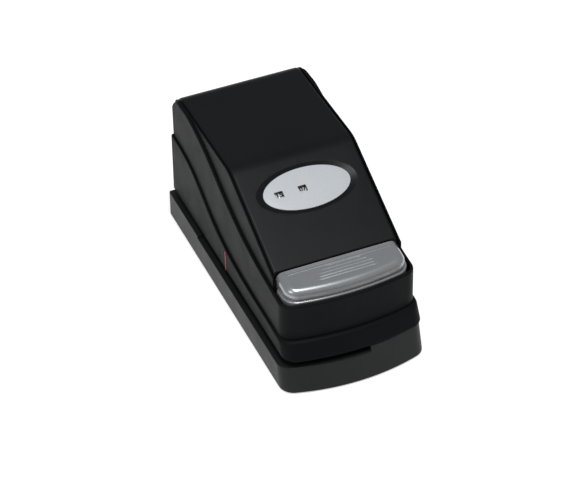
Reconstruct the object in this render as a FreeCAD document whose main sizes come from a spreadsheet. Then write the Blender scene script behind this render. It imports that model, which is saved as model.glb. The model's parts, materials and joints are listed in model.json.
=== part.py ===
"""A manual punch time clock, modelled as an assembly of its separate pieces.

Millimetres. The front, with the push bar, faces -Y, +X is to the right seen from the front and +Z is up.
Pieces are made about the middle of the case, whose height is counted from the surface it stands on. They are
moved sideways as they are written, so that the origin is under the middle of the base.
"""

import FreeCAD
import Part
import Sketcher
import math
import os

from FreeCAD import Placement, Rotation, Vector

X_AXIS = Vector(1, 0, 0)
Y_AXIS = Vector(0, 1, 0)
Z_AXIS = Vector(0, 0, 1)
# Turns a piece made round its own Z axis so that the axis lies along X.
ALONG_X = Rotation(Y_AXIS, 90)

doc = FreeCAD.newDocument("time_clock")
sheet = doc.addObject("Spreadsheet::Sheet", "sizes")

# Driving dimensions: alias, value, what it is.
DIMENSIONS = [
    ("base_width", 112.2, "base, outside"),
    ("base_across", -2.1, "middle of the base, to the right of the middle of the case"),
    ("base_depth", 236, "base, outside, at the middle"),
    ("base_top_front", 112.3, "front of the deck's edge, from the middle"),
    ("base_bow", 165, "plan radius of the base's bowed front"),
    ("corner_radius", 11.5, "front corners in plan"),
    ("rear_corner", 1.8, "rear corners in plan"),
    ("rim_height", 1, "bottom of the base's rim over the table"),
    ("deck_top", 20.5, "top of the card deck"),
    ("throat_gap", 4.6, "height of the card throat"),
    ("throat_right", 9, "closed right end of the throat"),
    ("throat_rear", 58, "closed rear end of the throat"),
    ("wall", 2.2, "thickness of the moulded walls"),
    ("case_width", 108.8, "lower case at its foot"),
    ("case_front", 111.8, "lower case at its foot, from the middle"),
    ("case_lean", 0.53, "run of the lower case's front per rise"),
    ("case_rear", 117.5, "lower case, from the middle"),
    ("case_draft", 0.008, "run of the side walls per rise"),
    ("case_bow", 210, "plan radius of the case's bowed front"),
    ("floor_thickness", 1.6, "floor of the lower case, over the throat"),
    ("mid_width", 104.8, "mid case, outside"),
    ("mid_front", 101.5, "mid case, from the middle"),
    ("mid_rear", 116.6, "mid case, from the middle"),
    ("inner_width", 100.4, "upper case, outside"),
    ("cover_width", 97, "top cover"),
    ("crease_depth", 10, "crease of the top, behind the middle"),
    ("crease_height", 118.3, "height of the crease"),
    ("crease_radius", 26, "rounding of the crease"),
    ("rear_height", 115.6, "top at the rear, before its rounding"),
    ("rear_radius", 14, "rounding of the rear top edge"),
    ("cover_rear", 117, "rear face of the top cover"),
    ("cover_tail", 103.4, "lower edge of the cover at the rear"),
    ("slope_angle", 25, "slope of the top's front part"),
    ("cover_front", 69.5, "front edge of the cover, from the middle"),
    ("cover_rim", 6, "depth of the cover's rims"),
    ("oval_centre", 30.3, "middle of the oval, down the slope from the crease"),
    ("oval_across", 0.9, "middle of the oval, to the right"),
    ("oval_width", 67.5, "oval label plate"),
    ("oval_height", 33.2, "oval label plate"),
    ("bezel_width", 78.8, "oval recess at the surface"),
    ("bezel_height", 39.5, "oval recess at the surface"),
    ("bezel_depth", 1.3, "depth of the oval recess"),
    ("label_thickness", 0.8, "label plate"),
    ("window_width", 6.6, "display window"),
    ("window_height", 5.4, "display window"),
    ("hour_window", -20.8, "middle of the hour window"),
    ("minute_window", -2.5, "middle of the minute window"),
    ("bar_back_height", 81, "top of the push bar at its back"),
    ("bar_front_height", 78, "top of the push bar at its front"),
    ("bar_back", 70.9, "back of the push bar, from the middle"),
    ("bar_front", 97.2, "front of the push bar, from the middle"),
    ("bar_width", 94, "push bar over its flange"),
    ("bar_flange", 1.6, "width of the flange round the bar's foot"),
    ("bar_flange_top", 70.4, "top of the flange"),
    ("bar_bottom", 66, "lower edge of the push bar"),
    ("bar_edge", 4.5, "rounding of the bar's top edges"),
    ("rim_top", 69.4, "top of the mid case round the bar"),
    ("pivot_rear", 40, "pivot of the bar frame, behind the middle"),
    ("pivot_height", 58, "pivot of the bar frame"),
    ("arm_across", 46.5, "middle of a bar frame arm, from the middle"),
    ("arm_thickness", 2, "bar frame arm"),
    ("arm_height", 12, "bar frame arm"),
    ("rod_across", 36, "push rod"),
    ("rod_front", 78, "push rod, from the middle"),
    ("rod_radius", 3, "push rod"),
    ("running", 0.05, "radial clearance of a running fit"),
    ("hammer_front", 38, "pivot of the hammer lever, from the middle"),
    ("hammer_height", 9.5, "pivot of the hammer lever"),
    ("print_depth", 9, "print line, behind the middle"),
    ("shaft_height", 69.2, "type shaft"),
    ("shaft_radius", 3, "type shaft"),
    ("type_radius", 41.2, "over the type"),
    ("left_plate", -43.5, "outer face of the left side plate"),
    ("right_plate", 22, "inner face of the right side plate"),
    ("plate_thickness", 1.5, "side plates"),
    ("tooth_module", 1, "gear teeth"),
    ("gear_play", 0.12, "extra distance between gear centres"),
    ("spool_height", 43, "ribbon spools"),
    ("front_spool", -43, "front spool"),
    ("rear_spool", 68, "rear spool"),
    ("ribbon_width", 35, "ribbon"),
    ("ribbon_height", 27.5, "ribbon over the print slot"),
    ("lock_depth", 62, "key lock, behind the middle"),
    ("lock_height", 86, "key lock"),
]


def fill_sheet():
    """Writes the driving dimensions into the sheet: a note in column A, the value in column B."""
    for row, (alias, value, note) in enumerate(DIMENSIONS, start=1):
        sheet.set(f"A{row}", note)
        sheet.set(f"B{row}", str(value))
        sheet.setAlias(f"B{row}", alias)
    doc.recompute()


fill_sheet()


def size(alias):
    """The value of one driving dimension."""
    return float(getattr(sheet, alias))


PIECES = []


def piece(obj, label):
    """Gives a finished object the name of its node and lists it for checking and writing."""
    obj.Label = label
    PIECES.append(obj)
    return obj


def bind(obj, prop, value):
    """Binds a property to an expression over the sheet, or sets a plain number."""
    obj.setExpression(prop, str(value))


def place(obj, x=0, y=0, z=0, turn=None):
    """Puts an object at bound coordinates, turned by a rotation."""
    if turn is not None:
        obj.Placement = Placement(Vector(0, 0, 0), turn)
    for axis, value in zip("xyz", (x, y, z)):
        if value != 0:
            bind(obj, f"Placement.Base.{axis}", value)
    return obj


def block(name, length, width, height, x=0, y=0, z=0):
    """A Part box whose sizes and lowest corner are bound."""
    box = doc.addObject("Part::Box", name)
    bind(box, "Length", length)
    bind(box, "Width", width)
    bind(box, "Height", height)
    return place(box, x, y, z)


def round_bar(name, radius, length, x=0, y=0, z=0, turn=None):
    """A Part cylinder whose sizes and start are bound. It lies along Z unless turned."""
    bar = doc.addObject("Part::Cylinder", name)
    bind(bar, "Radius", radius)
    bind(bar, "Height", length)
    return place(bar, x, y, z, turn)


def fuse(name, shapes):
    """One Part union of several objects."""
    joined = doc.addObject("Part::MultiFuse", name)
    joined.Shapes = shapes
    return joined


def cut(name, base, tool):
    """One object less another."""
    result = doc.addObject("Part::Cut", name)
    result.Base = base
    result.Tool = tool
    return result


def group(name, shapes):
    """Separate solids that share one node."""
    joined = doc.addObject("Part::Compound", name)
    joined.Links = shapes
    return joined


def new_body(name):
    """An empty PartDesign body."""
    return doc.addObject("PartDesign::Body", name)


def new_sketch(body, name, plane="XY_Plane", lift=0):
    """A sketch on one of the body's own origin planes, lifted along the plane's normal."""
    sketch = body.newObject("Sketcher::SketchObject", name)
    base = next(f for f in body.Origin.OriginFeatures if f.Role == plane)
    sketch.AttachmentSupport = [(base, "")]
    sketch.MapMode = "FlatFace"
    if lift != 0:
        bind(sketch, "AttachmentOffset.Base.z", lift)
    return sketch


def bound_distance(sketch, kind, first, second, label, value):
    """A named distance between two points of a sketch, bound to an expression."""
    index = sketch.addConstraint(Sketcher.Constraint(kind, *first, *second, 1.0))
    sketch.renameConstraint(index, label)
    bind(sketch, f"Constraints.{label}", value)


ORIGIN_POINT = (-1, 1)


def add_polygon(sketch, corners):
    """A closed outline of straight edges whose corners are bound to pairs of expressions."""
    first = sketch.GeometryCount
    count = len(corners)
    turns = [2 * math.pi * i / count for i in range(count)]
    rough = [Vector(math.cos(turn), math.sin(turn), 0) for turn in turns]
    for i in range(count):
        sketch.addGeometry(Part.LineSegment(rough[i], rough[(i + 1) % count]), False)
    for i in range(count):
        sketch.addConstraint(Sketcher.Constraint("Coincident", first + i, 2, first + (i + 1) % count, 1))
    for i, (across, up) in enumerate(corners):
        bound_distance(sketch, "DistanceX", ORIGIN_POINT, (first + i, 1), f"across_{first + i}", across)
        bound_distance(sketch, "DistanceY", ORIGIN_POINT, (first + i, 1), f"up_{first + i}", up)


def add_circle(sketch, radius, across=0, up=0):
    """A circle whose centre and radius are bound."""
    index = sketch.addGeometry(Part.Circle(Vector(0, 0, 0), Z_AXIS, 1.0), False)
    constraint = sketch.addConstraint(Sketcher.Constraint("Radius", index, 1.0))
    sketch.renameConstraint(constraint, f"radius_{index}")
    bind(sketch, f"Constraints.radius_{index}", radius)
    if across == 0 and up == 0:
        sketch.addConstraint(Sketcher.Constraint("Coincident", index, 3, -1, 1))
    else:
        bound_distance(sketch, "DistanceX", ORIGIN_POINT, (index, 3), f"across_{index}", across)
        bound_distance(sketch, "DistanceY", ORIGIN_POINT, (index, 3), f"up_{index}", up)


def pad(body, sketch, length):
    """A pad of a sketch along its normal."""
    feature = body.newObject("PartDesign::Pad", "pad")
    feature.Profile = sketch
    bind(feature, "Length", length)
    return feature


def revolve(body, sketch):
    """A full revolution of a half section drawn on the XZ plane, about its upright axis."""
    feature = body.newObject("PartDesign::Revolution", "revolution")
    feature.Profile = sketch
    feature.ReferenceAxis = (sketch, ["V_Axis"])
    feature.Angle = 360
    return feature


def repeat_round(body, feature, sketch, count):
    """Repeats a feature round the axis normal to its sketch."""
    pattern = body.newObject("PartDesign::PolarPattern", "pattern")
    pattern.Originals = [feature]
    pattern.Axis = (sketch, ["N_Axis"])
    pattern.Angle = 360
    pattern.Occurrences = count
    body.Tip = pattern
    return pattern


def turned_body(name, section):
    """A body turned from a half section given as (radius, height) pairs of expressions."""
    body = new_body(name)
    sketch = new_sketch(body, name + "_section", "XZ_Plane")
    add_polygon(sketch, section)
    revolve(body, sketch)
    return body


def plate_body(name, outline, thickness, holes=(), plane="XY_Plane", lift=0):
    """A flat plate: an outline, padded, with round holes (radius, across, up) right through."""
    body = new_body(name)
    sketch = new_sketch(body, name + "_outline", plane, lift)
    add_polygon(sketch, outline)
    for radius, across, up in holes:
        add_circle(sketch, radius, across, up)
    pad(body, sketch, thickness)
    return body


# Shells. Their outlines are arcs and curves, so Part's own functions build them from the sheet's sizes.


def plan_outline(half_width, front, rear, corner, rear_corner, bow, height):
    """The closed plan of a shell: straight sides and rear, a bowed front and four rounded corners."""
    centre = -front + bow
    corner_x = half_width - corner
    corner_y = centre - math.sqrt((bow - corner) ** 2 - corner_x**2)
    reach = bow / (bow - corner)
    bow_x = corner_x * reach
    bow_y = centre + (corner_y - centre) * reach
    slant = math.atan2(bow_y - corner_y, bow_x - corner_x) / 2
    half_y = corner_y + corner * math.sin(slant)
    half_x = corner_x + corner * math.cos(slant)
    rear_mid = rear_corner * math.sqrt(0.5)
    rear_x = half_width - rear_corner
    rear_y = rear - rear_corner

    def at(x, y):
        return Vector(x, y, height)

    edges = [
        Part.Arc(at(-bow_x, bow_y), at(0, -front), at(bow_x, bow_y)),
        Part.Arc(at(bow_x, bow_y), at(half_x, half_y), at(half_width, corner_y)),
        Part.LineSegment(at(half_width, corner_y), at(half_width, rear_y)),
        Part.Arc(at(half_width, rear_y), at(rear_x + rear_mid, rear_y + rear_mid), at(rear_x, rear)),
        Part.LineSegment(at(rear_x, rear), at(-rear_x, rear)),
        Part.Arc(at(-rear_x, rear), at(-rear_x - rear_mid, rear_y + rear_mid), at(-half_width, rear_y)),
        Part.LineSegment(at(-half_width, rear_y), at(-half_width, corner_y)),
        Part.Arc(at(-half_width, corner_y), at(-half_x, half_y), at(-bow_x, bow_y)),
    ]
    return Part.Wire([edge.toShape() for edge in edges])


def prism(half_width, front, rear, bottom, top, bow, inset=0.0, lean=0.0, draft=0.0):
    """A shell's solid between two heights. Its front leans back and its sides draw in as it rises."""
    corner = size("corner_radius") - inset
    rear_corner = max(size("rear_corner") - inset, 1.0)
    rise = top - bottom
    lower = plan_outline(half_width - inset, front - inset, rear - inset, corner, rear_corner, bow, bottom)
    upper_half = half_width - inset - draft * rise
    upper_front = front - inset - lean * rise
    upper = plan_outline(upper_half, upper_front, rear - inset, corner, rear_corner, bow, top)
    return Part.makeLoft([lower, upper], True, True)


def straight_prism(half_width, front, rear, bottom, top, bow):
    """A prism with upright walls."""
    outline = plan_outline(
        half_width, front, rear, size("corner_radius") - 1, size("rear_corner") - 1, bow, bottom
    )
    return Part.Face(outline).extrude(Z_AXIS * (top - bottom))


def box_between(low, high):
    """A plain box between two corners."""
    return Part.makeBox(high[0] - low[0], high[1] - low[1], high[2] - low[2], Vector(*low))


def across_box(half_width, low, high):
    """A box centred on the middle plane between two (depth, height) corners."""
    return box_between((-half_width, *low), (half_width, *high))


def rounded_path(points, radii):
    """Edges of an open path in the YZ plane whose inner corners are rounded. Points are (depth, height)."""
    edges = []
    start = Vector(0, *points[0])
    for before, corner, after, radius in zip(points, points[1:], points[2:], radii):
        here = Vector(0, *corner)
        back = (Vector(0, *before) - here).normalize()
        ahead = (Vector(0, *after) - here).normalize()
        half_angle = back.getAngle(ahead) / 2
        reach = radius / math.tan(half_angle)
        middle = here + (back + ahead).normalize() * (radius / math.sin(half_angle) - radius)
        arc_start = here + back * reach
        arc_end = here + ahead * reach
        edges.append(Part.LineSegment(start, arc_start).toShape())
        edges.append(Part.Arc(arc_start, middle, arc_end).toShape())
        start = arc_end
    edges.append(Part.LineSegment(start, Vector(0, *points[-1])).toShape())
    return edges


SLOPE = math.radians(size("slope_angle"))
WIDE = 80.0
FAR_FRONT = -135.0
FAR_REAR = 135.0
BELOW = -5.0
ABOVE = 200.0

# The two S-shaped ledges along the sides, as (depth, height) points of a smooth curve, rear to front.
LOWER_LEDGE = [
    (FAR_REAR, 77.0), (100, 76.6), (78, 72.5), (60, 65.0), (40, 54.8), (20, 47.6), (-2, 42.8),
    (-30, 40.0), (-65, 39.0), (FAR_FRONT, 38.4),
]
UPPER_LEDGE = [
    (FAR_REAR, 118.6), (104, 117.6), (82, 115.0), (62, 110.6), (40, 102.2), (20, 92.8), (0, 84.6),
    (-20, 78.2), (-45, 73.2), (-70, 70.4), (-90, 69.5), (FAR_FRONT, 69.4),
]


def top_points():
    """The side profile of the top, rear to front: rear foot, rear top, crease and far end of the slope."""
    crease = (size("crease_depth"), size("crease_height"))
    far_height = crease[1] - (crease[0] - FAR_FRONT) * math.tan(SLOPE)
    rear = size("cover_rear")
    return [(rear, BELOW), (rear, size("rear_height")), crease, (FAR_FRONT, far_height)]


def moved_in(points, inset):
    """The same open path moved inward by an inset, with its corners found again."""
    lines = []
    for first, second in zip(points, points[1:]):
        run = Vector(0, second[0] - first[0], second[1] - first[1]).normalize()
        shift = Vector(0, -run.z, run.y) * inset
        lines.append((Vector(0, *first) + shift, run))
    corners = [(lines[0][0].y, lines[0][0].z)]
    for (first, run), (second, next_run) in zip(lines, lines[1:]):
        gap = second - first
        along = (gap.y * next_run.z - gap.z * next_run.y) / (run.y * next_run.z - run.z * next_run.y)
        corner = first + run * along
        corners.append((corner.y, corner.z))
    start, run = lines[-1]
    last = Vector(0, *points[-1]) + Vector(0, -run.z, run.y) * inset
    corners.append((last.y, last.z))
    return corners


def slab(edges, outline_end, half_width):
    """The solid between an open side profile and the straight lines that close it, to both sides."""
    points = [Vector(0, *p) for p in outline_end]
    closing = [Part.LineSegment(a, b).toShape() for a, b in zip(points, points[1:])]
    face = Part.Face(Part.Wire(edges + closing))
    face.translate(Vector(-half_width, 0, 0))
    return face.extrude(X_AXIS * 2 * half_width)


def under_top(half_width, inset):
    """Everything under the top's profile, moved in by an inset."""
    points = moved_in(top_points(), inset)
    radii = (max(size("rear_radius") - inset, 0.5), size("crease_radius") - inset)
    edges = rounded_path(points, radii)
    return slab(edges, [points[-1], (points[-1][0], BELOW), points[0]], half_width)


def under_ledge(points, drop=0.0, half_width=WIDE):
    """Everything under one of the side ledges, lowered by a drop."""
    curve = Part.BSplineCurve()
    curve.interpolate([Vector(0, depth, height - drop) for depth, height in points])
    first = (points[0][0], points[0][1] - drop)
    last = (points[-1][0], points[-1][1] - drop)
    return slab([curve.toShape()], [last, (last[0], BELOW), (first[0], BELOW), first], half_width)


def shell_piece(label, shape):
    """A document object for a shape made in code."""
    obj = doc.addObject("Part::Feature", label)
    obj.Shape = shape.removeSplitter()
    return piece(obj, label)


DECK = size("deck_top")
CASE_FLOOR = DECK + size("throat_gap")
FLOOR_TOP = CASE_FLOOR + size("floor_thickness")
WALL = size("wall")
RUNNING = size("running")
PLATE_TOP = 2.6
PRINT_SLOT = ((-40.3, 5.2), (-5.2, 14.6))
BOSS_SPOTS = [(-46, -96), (46, -94), (-46, 104), (46, 104)]
CASE_SCREW_SPOTS = [(20, -98), (46, -40), (46, 80), (-30, 104)]
BOSS_RADIUS = 4.0
SCREW_RADIUS = 1.5


def upright(radius, bottom, top, x, y):
    """A round post or hole between two heights."""
    return Part.makeCylinder(radius, top - bottom, Vector(x, y, bottom))


def along_x(radius, left, right, y, z):
    """A round bar or hole along X."""
    return Part.makeCylinder(radius, right - left, Vector(left, y, z), X_AXIS)


def rod_hole(bottom, top, radius):
    """The upright hole round the push rod."""
    return upright(radius, bottom, top, size("rod_across"), -size("rod_front"))


BUSH_RADIUS = 5.0
STRIP_WIDTH = 7.7
STRIP_RISE = 1.8


def make_base():
    """The low box: card deck on the left, raised to meet the case on the right and at the rear."""
    half = size("base_width") / 2
    front = size("base_depth") / 2
    lean = (front - size("base_top_front")) / DECK
    bottom = size("rim_height")
    bow = size("base_bow")
    outer = prism(half, front, front, bottom, CASE_FLOOR, bow, 0.0, lean, size("case_draft"))
    inner = prism(half, front - lean * (BELOW - bottom), front, BELOW, DECK - 2, bow, WALL, lean)
    riser = prism(half, front - lean * (DECK - 3), front, DECK - 3, CASE_FLOOR - 2, bow, WALL, lean)
    for solid in (outer, inner, riser):
        solid.translate(X_AXIS * size("base_across"))
    throat = box_between((-WIDE, FAR_FRONT, DECK), (size("throat_right"), size("throat_rear"), ABOVE))
    strip_right = size("base_across") - half + STRIP_WIDTH
    reveal = box_between((-WIDE, FAR_FRONT, DECK + STRIP_RISE), (strip_right, FAR_REAR, ABOVE))
    riser = riser.cut(box_between((-WIDE, FAR_FRONT, 0), (size("throat_right") + WALL, FAR_REAR, ABOVE)))
    body = outer.cut(throat).cut(reveal).cut(inner).cut(riser)
    posts = [upright(BOSS_RADIUS, PLATE_TOP, CASE_FLOOR - 1, x, y) for x, y in BOSS_SPOTS]
    body = body.fuse(posts[1:] + [upright(BOSS_RADIUS, PLATE_TOP, DECK - 1, *BOSS_SPOTS[0])])
    body = body.cut(throat)
    body = body.cut(reveal)
    (left, near), (right, far) = PRINT_SLOT
    holes = [box_between((left, near, 0), (right, far, ABOVE)), rod_hole(0, ABOVE, BUSH_RADIUS)]
    holes += [upright(SCREW_RADIUS, 0, DECK - 4, x, y) for x, y in BOSS_SPOTS]
    holes += [upright(SCREW_RADIUS, DECK - 3, ABOVE, x, y) for x, y in CASE_SCREW_SPOTS]
    for hole in holes:
        body = body.cut(hole)
    shell_piece("base", body)


def case_prism():
    """The lower case's outside, taller than its ledge: the front leans back and the sides draw in."""
    half = size("case_width") / 2
    return prism(
        half, size("case_front"), size("case_rear"), CASE_FLOOR, 84, size("case_bow"), 0.0, size("case_lean"),
        size("case_draft"),
    )


def make_lower_case():
    """The band round the foot of the housing, with the throat's ceiling as its floor."""
    half = size("case_width") / 2
    rear = size("case_rear")
    bow = size("case_bow")
    outer = case_prism().common(under_ledge(LOWER_LEDGE))
    mid = size("mid_width") / 2 + 0.05
    upper = straight_prism(mid, size("mid_front") + 0.05, size("mid_rear") + 0.05, CASE_FLOOR, ABOVE, bow)
    upper = upper.cut(under_ledge(LOWER_LEDGE, 5.1))
    lower = straight_prism(half - WALL, size("mid_front"), rear - WALL, FLOOR_TOP, ABOVE, bow)
    body = outer.cut(upper.fuse(lower))
    posts = [upright(BOSS_RADIUS, CASE_FLOOR, FLOOR_TOP + 7, x, y) for x, y in CASE_SCREW_SPOTS]
    body = body.fuse(posts)
    (left, near), (right, far) = PRINT_SLOT
    holes = [box_between((left, near, 0), (right, far, ABOVE)), rod_hole(0, ABOVE, BUSH_RADIUS)]
    holes += [upright(SCREW_RADIUS, 0, FLOOR_TOP + 6, x, y) for x, y in CASE_SCREW_SPOTS]
    holes.append(inlet_body(0.0))
    for hole in holes:
        body = body.cut(hole)
    corner = Part.Wire(
        [
            Part.LineSegment(Vector(0, *a), Vector(0, *b)).toShape()
            for a, b in [
                ((rear - 4, CASE_FLOOR - 1), (rear + 1, CASE_FLOOR - 1)),
                ((rear + 1, CASE_FLOOR - 1), (rear + 1, CASE_FLOOR + 3)),
                ((rear + 1, CASE_FLOOR + 3), (rear - 4, CASE_FLOOR - 1)),
            ]
        ]
    )
    wedge = Part.Face(corner)
    wedge.translate(Vector(-half - 1, 0, 0))
    body = body.cut(wedge.extrude(X_AXIS * (half + 1 + size("throat_right"))))
    shell_piece("lower_case", body)


LOCK_RADIUS = 8.0
RIM_RISE = 4.5
RIM_RUN = 1.6


def make_mid_case():
    """The S-curved side walls, the rear wall and the rim round the push bar."""
    half = size("mid_width") / 2
    front = size("mid_front")
    rear = size("mid_rear")
    bow = size("case_bow")
    inner_half = size("inner_width") / 2 + 0.05
    outer = straight_prism(half, front, rear, FLOOR_TOP, ABOVE, bow)
    outer = outer.common(under_ledge(UPPER_LEDGE)).common(under_top(WIDE, 0.3))
    outer = outer.cut(under_ledge(LOWER_LEDGE, 5.0))
    foot = size("rim_top") - RIM_RISE
    above_foot = box_between((-WIDE, FAR_FRONT, foot), (WIDE, -front + 15, ABOVE))
    nose = prism(half, front, rear, foot, size("rim_top") + 1, bow, 0.0, RIM_RUN / RIM_RISE)
    outer = outer.cut(above_foot.cut(nose))
    inner = straight_prism(inner_half, front - 1.9, rear - 2.0, BELOW, ABOVE, bow)
    tail = box_between((-inner_half + 1.2, 0, size("cover_tail") - 0.6), (inner_half - 1.2, FAR_REAR, ABOVE))
    body = outer.cut(inner).cut(tail)
    body = body.cut(along_x(LOCK_RADIUS, 30, WIDE, size("lock_depth"), size("lock_height")))
    body = body.cut(inlet_body(0.0))
    shell_piece("mid_case", body)


def make_upper_case():
    """The inner walls between the side ledge and the cover, with the wall behind the bar."""
    half = size("inner_width") / 2
    rear = size("mid_rear") - 2.05
    lip_half = size("cover_width") / 2 + 0.6
    seat_half = half - WALL
    front = -size("cover_front") - 3.5
    outer = straight_prism(half, size("mid_front"), rear, FLOOR_TOP, ABOVE, size("case_bow"))
    outer = outer.common(box_between((-WIDE, front, BELOW), (WIDE, FAR_REAR, ABOVE)))
    outer = outer.common(under_top(WIDE, 0.7))
    outer = outer.cut(under_ledge(UPPER_LEDGE, 9))
    above_seat = across_box(lip_half, (FAR_FRONT, BELOW), (FAR_REAR, ABOVE)).cut(
        under_top(WIDE, size("cover_rim") + 0.4)
    )
    inside = across_box(seat_half, (FAR_FRONT, BELOW), (rear - WALL, ABOVE))
    body = outer.cut(above_seat).cut(inside)
    wall_rear = -size("cover_front") + 1.6
    front_wall = across_box(seat_half, (-size("cover_front") - 0.4, 64.6), (wall_rear, 73.6))
    body = body.fuse(front_wall)
    body = body.cut(across_box(lip_half, (FAR_FRONT, size("cover_tail") - 0.8), (FAR_REAR, ABOVE)).common(
        box_between((-WIDE, 90, 0), (WIDE, FAR_REAR, ABOVE))
    ).cut(under_top(WIDE, size("cover_rim") + 0.4)))
    shell_piece("upper_case", body)


def on_slope(shape):
    """Puts a shape made flat round the oval's middle onto the slope of the top."""
    down = size("oval_centre")
    depth = size("crease_depth") - down * math.cos(SLOPE)
    height = size("crease_height") - down * math.sin(SLOPE)
    spot = Placement(Vector(size("oval_across"), depth, height), Rotation(X_AXIS, size("slope_angle")))
    placed = shape.copy()
    placed.Placement = spot.multiply(placed.Placement)
    return placed


def oval(width, height, level):
    """An oval wire at a level."""
    ellipse = Part.Ellipse(Vector(0, 0, level), width / 2, height / 2)
    return Part.Wire([ellipse.toShape()])


def window_blocks(low, high, play=0.0):
    """The two windows as blocks between two levels, in the oval's own coordinates."""
    blocks = []
    width = size("window_width") - play
    height = size("window_height") - play
    for middle in (size("hour_window"), size("minute_window")):
        x = middle - size("oval_across") - width / 2
        blocks.append(Part.makeBox(width, height, high - low, Vector(x, -height / 2, low)))
    return blocks


def make_top_cover():
    """The lift-off cover: flat top, crease, slope with the oval recess, and a shallow rim all round."""
    half = size("cover_width") / 2
    front = -size("cover_front")
    tail = size("cover_tail")
    outer = under_top(half, 0.0).cut(under_top(WIDE, size("cover_rim")))
    inner = under_top(half - WALL, WALL).common(
        box_between((-WIDE, front + WALL, BELOW), (WIDE, FAR_REAR, ABOVE))
    )
    outer = outer.common(box_between((-WIDE, front, BELOW), (WIDE, FAR_REAR, ABOVE)))
    body = outer.cut(inner)
    body = body.cut(box_between((-WIDE, 60, BELOW), (WIDE, FAR_REAR, tail)))
    seat = across_box(WIDE, (size("mid_rear") - 4.3, BELOW), (size("cover_rear") - WALL, tail + 6))
    body = body.cut(seat.cut(under_top(WIDE, WALL)))
    recess = Part.makeLoft(
        [
            oval(size("oval_width") + 1, size("oval_height") + 1, -size("bezel_depth")),
            oval(size("bezel_width"), size("bezel_height"), 0.0),
        ],
        True,
        True,
    )
    above = Part.Face(oval(size("bezel_width"), size("bezel_height"), 0.0)).extrude(Z_AXIS * 3)
    body = body.cut(on_slope(recess)).cut(on_slope(above))
    for window in window_blocks(-6, 3):
        body = body.cut(on_slope(window))
    edges = [edge for edge in body.Edges if is_cover_side_edge(edge, half)]
    body = body.makeFillet(1.6, edges)
    shell_piece("top_cover", body)


def is_cover_side_edge(edge, half):
    """True for the long outer edges along both sides of the cover's top."""
    spots = [edge.valueAt(edge.FirstParameter), edge.valueAt(edge.LastParameter)]
    if any(abs(abs(spot.x) - half) > 0.01 for spot in spots):
        return False
    surface = under_top(WIDE, 0.01)
    middle = edge.valueAt((edge.FirstParameter + edge.LastParameter) / 2)
    return all(not surface.isInside(spot, 1e-6, True) for spot in spots + [middle])


def make_label():
    """The oval label plate in the recess, with its two windows, and the clear panes in them."""
    low = -size("bezel_depth")
    plate = Part.Face(oval(size("oval_width"), size("oval_height"), low))
    plate = plate.extrude(Z_AXIS * size("label_thickness"))
    for window in window_blocks(-6, 3):
        plate = plate.cut(window)
    shell_piece("label_plate", on_slope(plate))
    panes = Part.makeCompound(window_blocks(low - 0.85, low - 0.05))
    shell_piece("window_lenses", on_slope(panes))


def bar_plan(half, front, level, corner):
    """The bar's plan: a bowed front with rounded corners, open to the rear."""
    return Part.Face(plan_outline(half, front, 0.0, corner, 4.0, size("case_bow"), level))


def make_push_bar():
    """The silver bar: a crowned cap with rounded edges, hollow below, and a flange round its foot."""
    half = size("bar_width") / 2
    front = size("bar_front")
    flange = size("bar_flange")
    bottom = size("bar_bottom")
    back = -size("bar_back")
    top_back = size("bar_back_height")
    top_front = size("bar_front_height")
    fall = (top_back - top_front) / (front + back)
    before_back = box_between((-WIDE, FAR_FRONT, 0), (WIDE, back, ABOVE))
    top = [
        (back + 1, top_back + fall),
        (FAR_FRONT, top_back + fall * (FAR_FRONT - back)),
        (FAR_FRONT, BELOW),
        (back + 1, BELOW),
        (back + 1, top_back + fall),
    ]
    under = slab([], top, WIDE)
    cap = bar_plan(half, front, bottom, 8.0).extrude(Z_AXIS * 40).common(before_back).common(under)
    cap = cap.removeSplitter()
    crown = max(cap.Faces, key=lambda face: face.CenterOfMass.z)
    back_edge = max(crown.Edges, key=lambda edge: edge.CenterOfMass.y)
    rounded = [edge for edge in crown.Edges if not edge.isSame(back_edge)]
    cap = cap.makeFillet(size("bar_edge"), rounded)
    foot = bar_plan(half + flange, front + flange, bottom, 9.5)
    foot = foot.extrude(Z_AXIS * (size("bar_flange_top") - bottom))
    foot = foot.common(box_between((-WIDE, FAR_FRONT, 0), (WIDE, back - 3.6, ABOVE)))
    hollow = bar_plan(half - 3, front - 3, bottom - 1, 4.0).extrude(Z_AXIS * 8)
    hollow = hollow.common(box_between((-WIDE, FAR_FRONT, 0), (WIDE, back - 2.4, ABOVE)))
    shell_piece("push_bar", cap.fuse(foot).cut(hollow))


INLET_LOW = (20.0, 99.0, 33.0)
INLET_HIGH = (40.0, 117.5, 45.0)


def inlet_body(grow):
    """The power inlet's rectangular body through the rear wall, grown by an amount."""
    low = [value - grow for value in INLET_LOW]
    high = [INLET_HIGH[0] + grow, INLET_HIGH[1] + 1, INLET_HIGH[2] + grow]
    return box_between(low, high)


def make_power_inlet():
    """A two-pin mains inlet: a moulded body with a waisted socket and two pins."""
    x = (INLET_LOW[0] + INLET_HIGH[0]) / 2
    z = (INLET_LOW[2] + INLET_HIGH[2]) / 2
    back = INLET_HIGH[1]
    body = block("inlet_block", 20, 18.5, 12, INLET_LOW[0], INLET_LOW[1], INLET_LOW[2])
    turn = Rotation(X_AXIS, 90)
    left = round_bar("inlet_left", 3.8, 12, x - 3.6, back, z, turn)
    right = round_bar("inlet_right", 3.8, 12, x + 3.6, back, z, turn)
    body = cut("inlet_hollow", body, fuse("inlet_socket", [left, right]))
    pins = [round_bar("inlet_pin", 1.2, 11, x + side * 4.3, back - 1.5, z, turn) for side in (-1, 1)]
    piece(fuse("inlet_joined", [body] + pins), "power_inlet")


# Under the deck: bottom plate, feet, screws and the print hammer.


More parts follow.
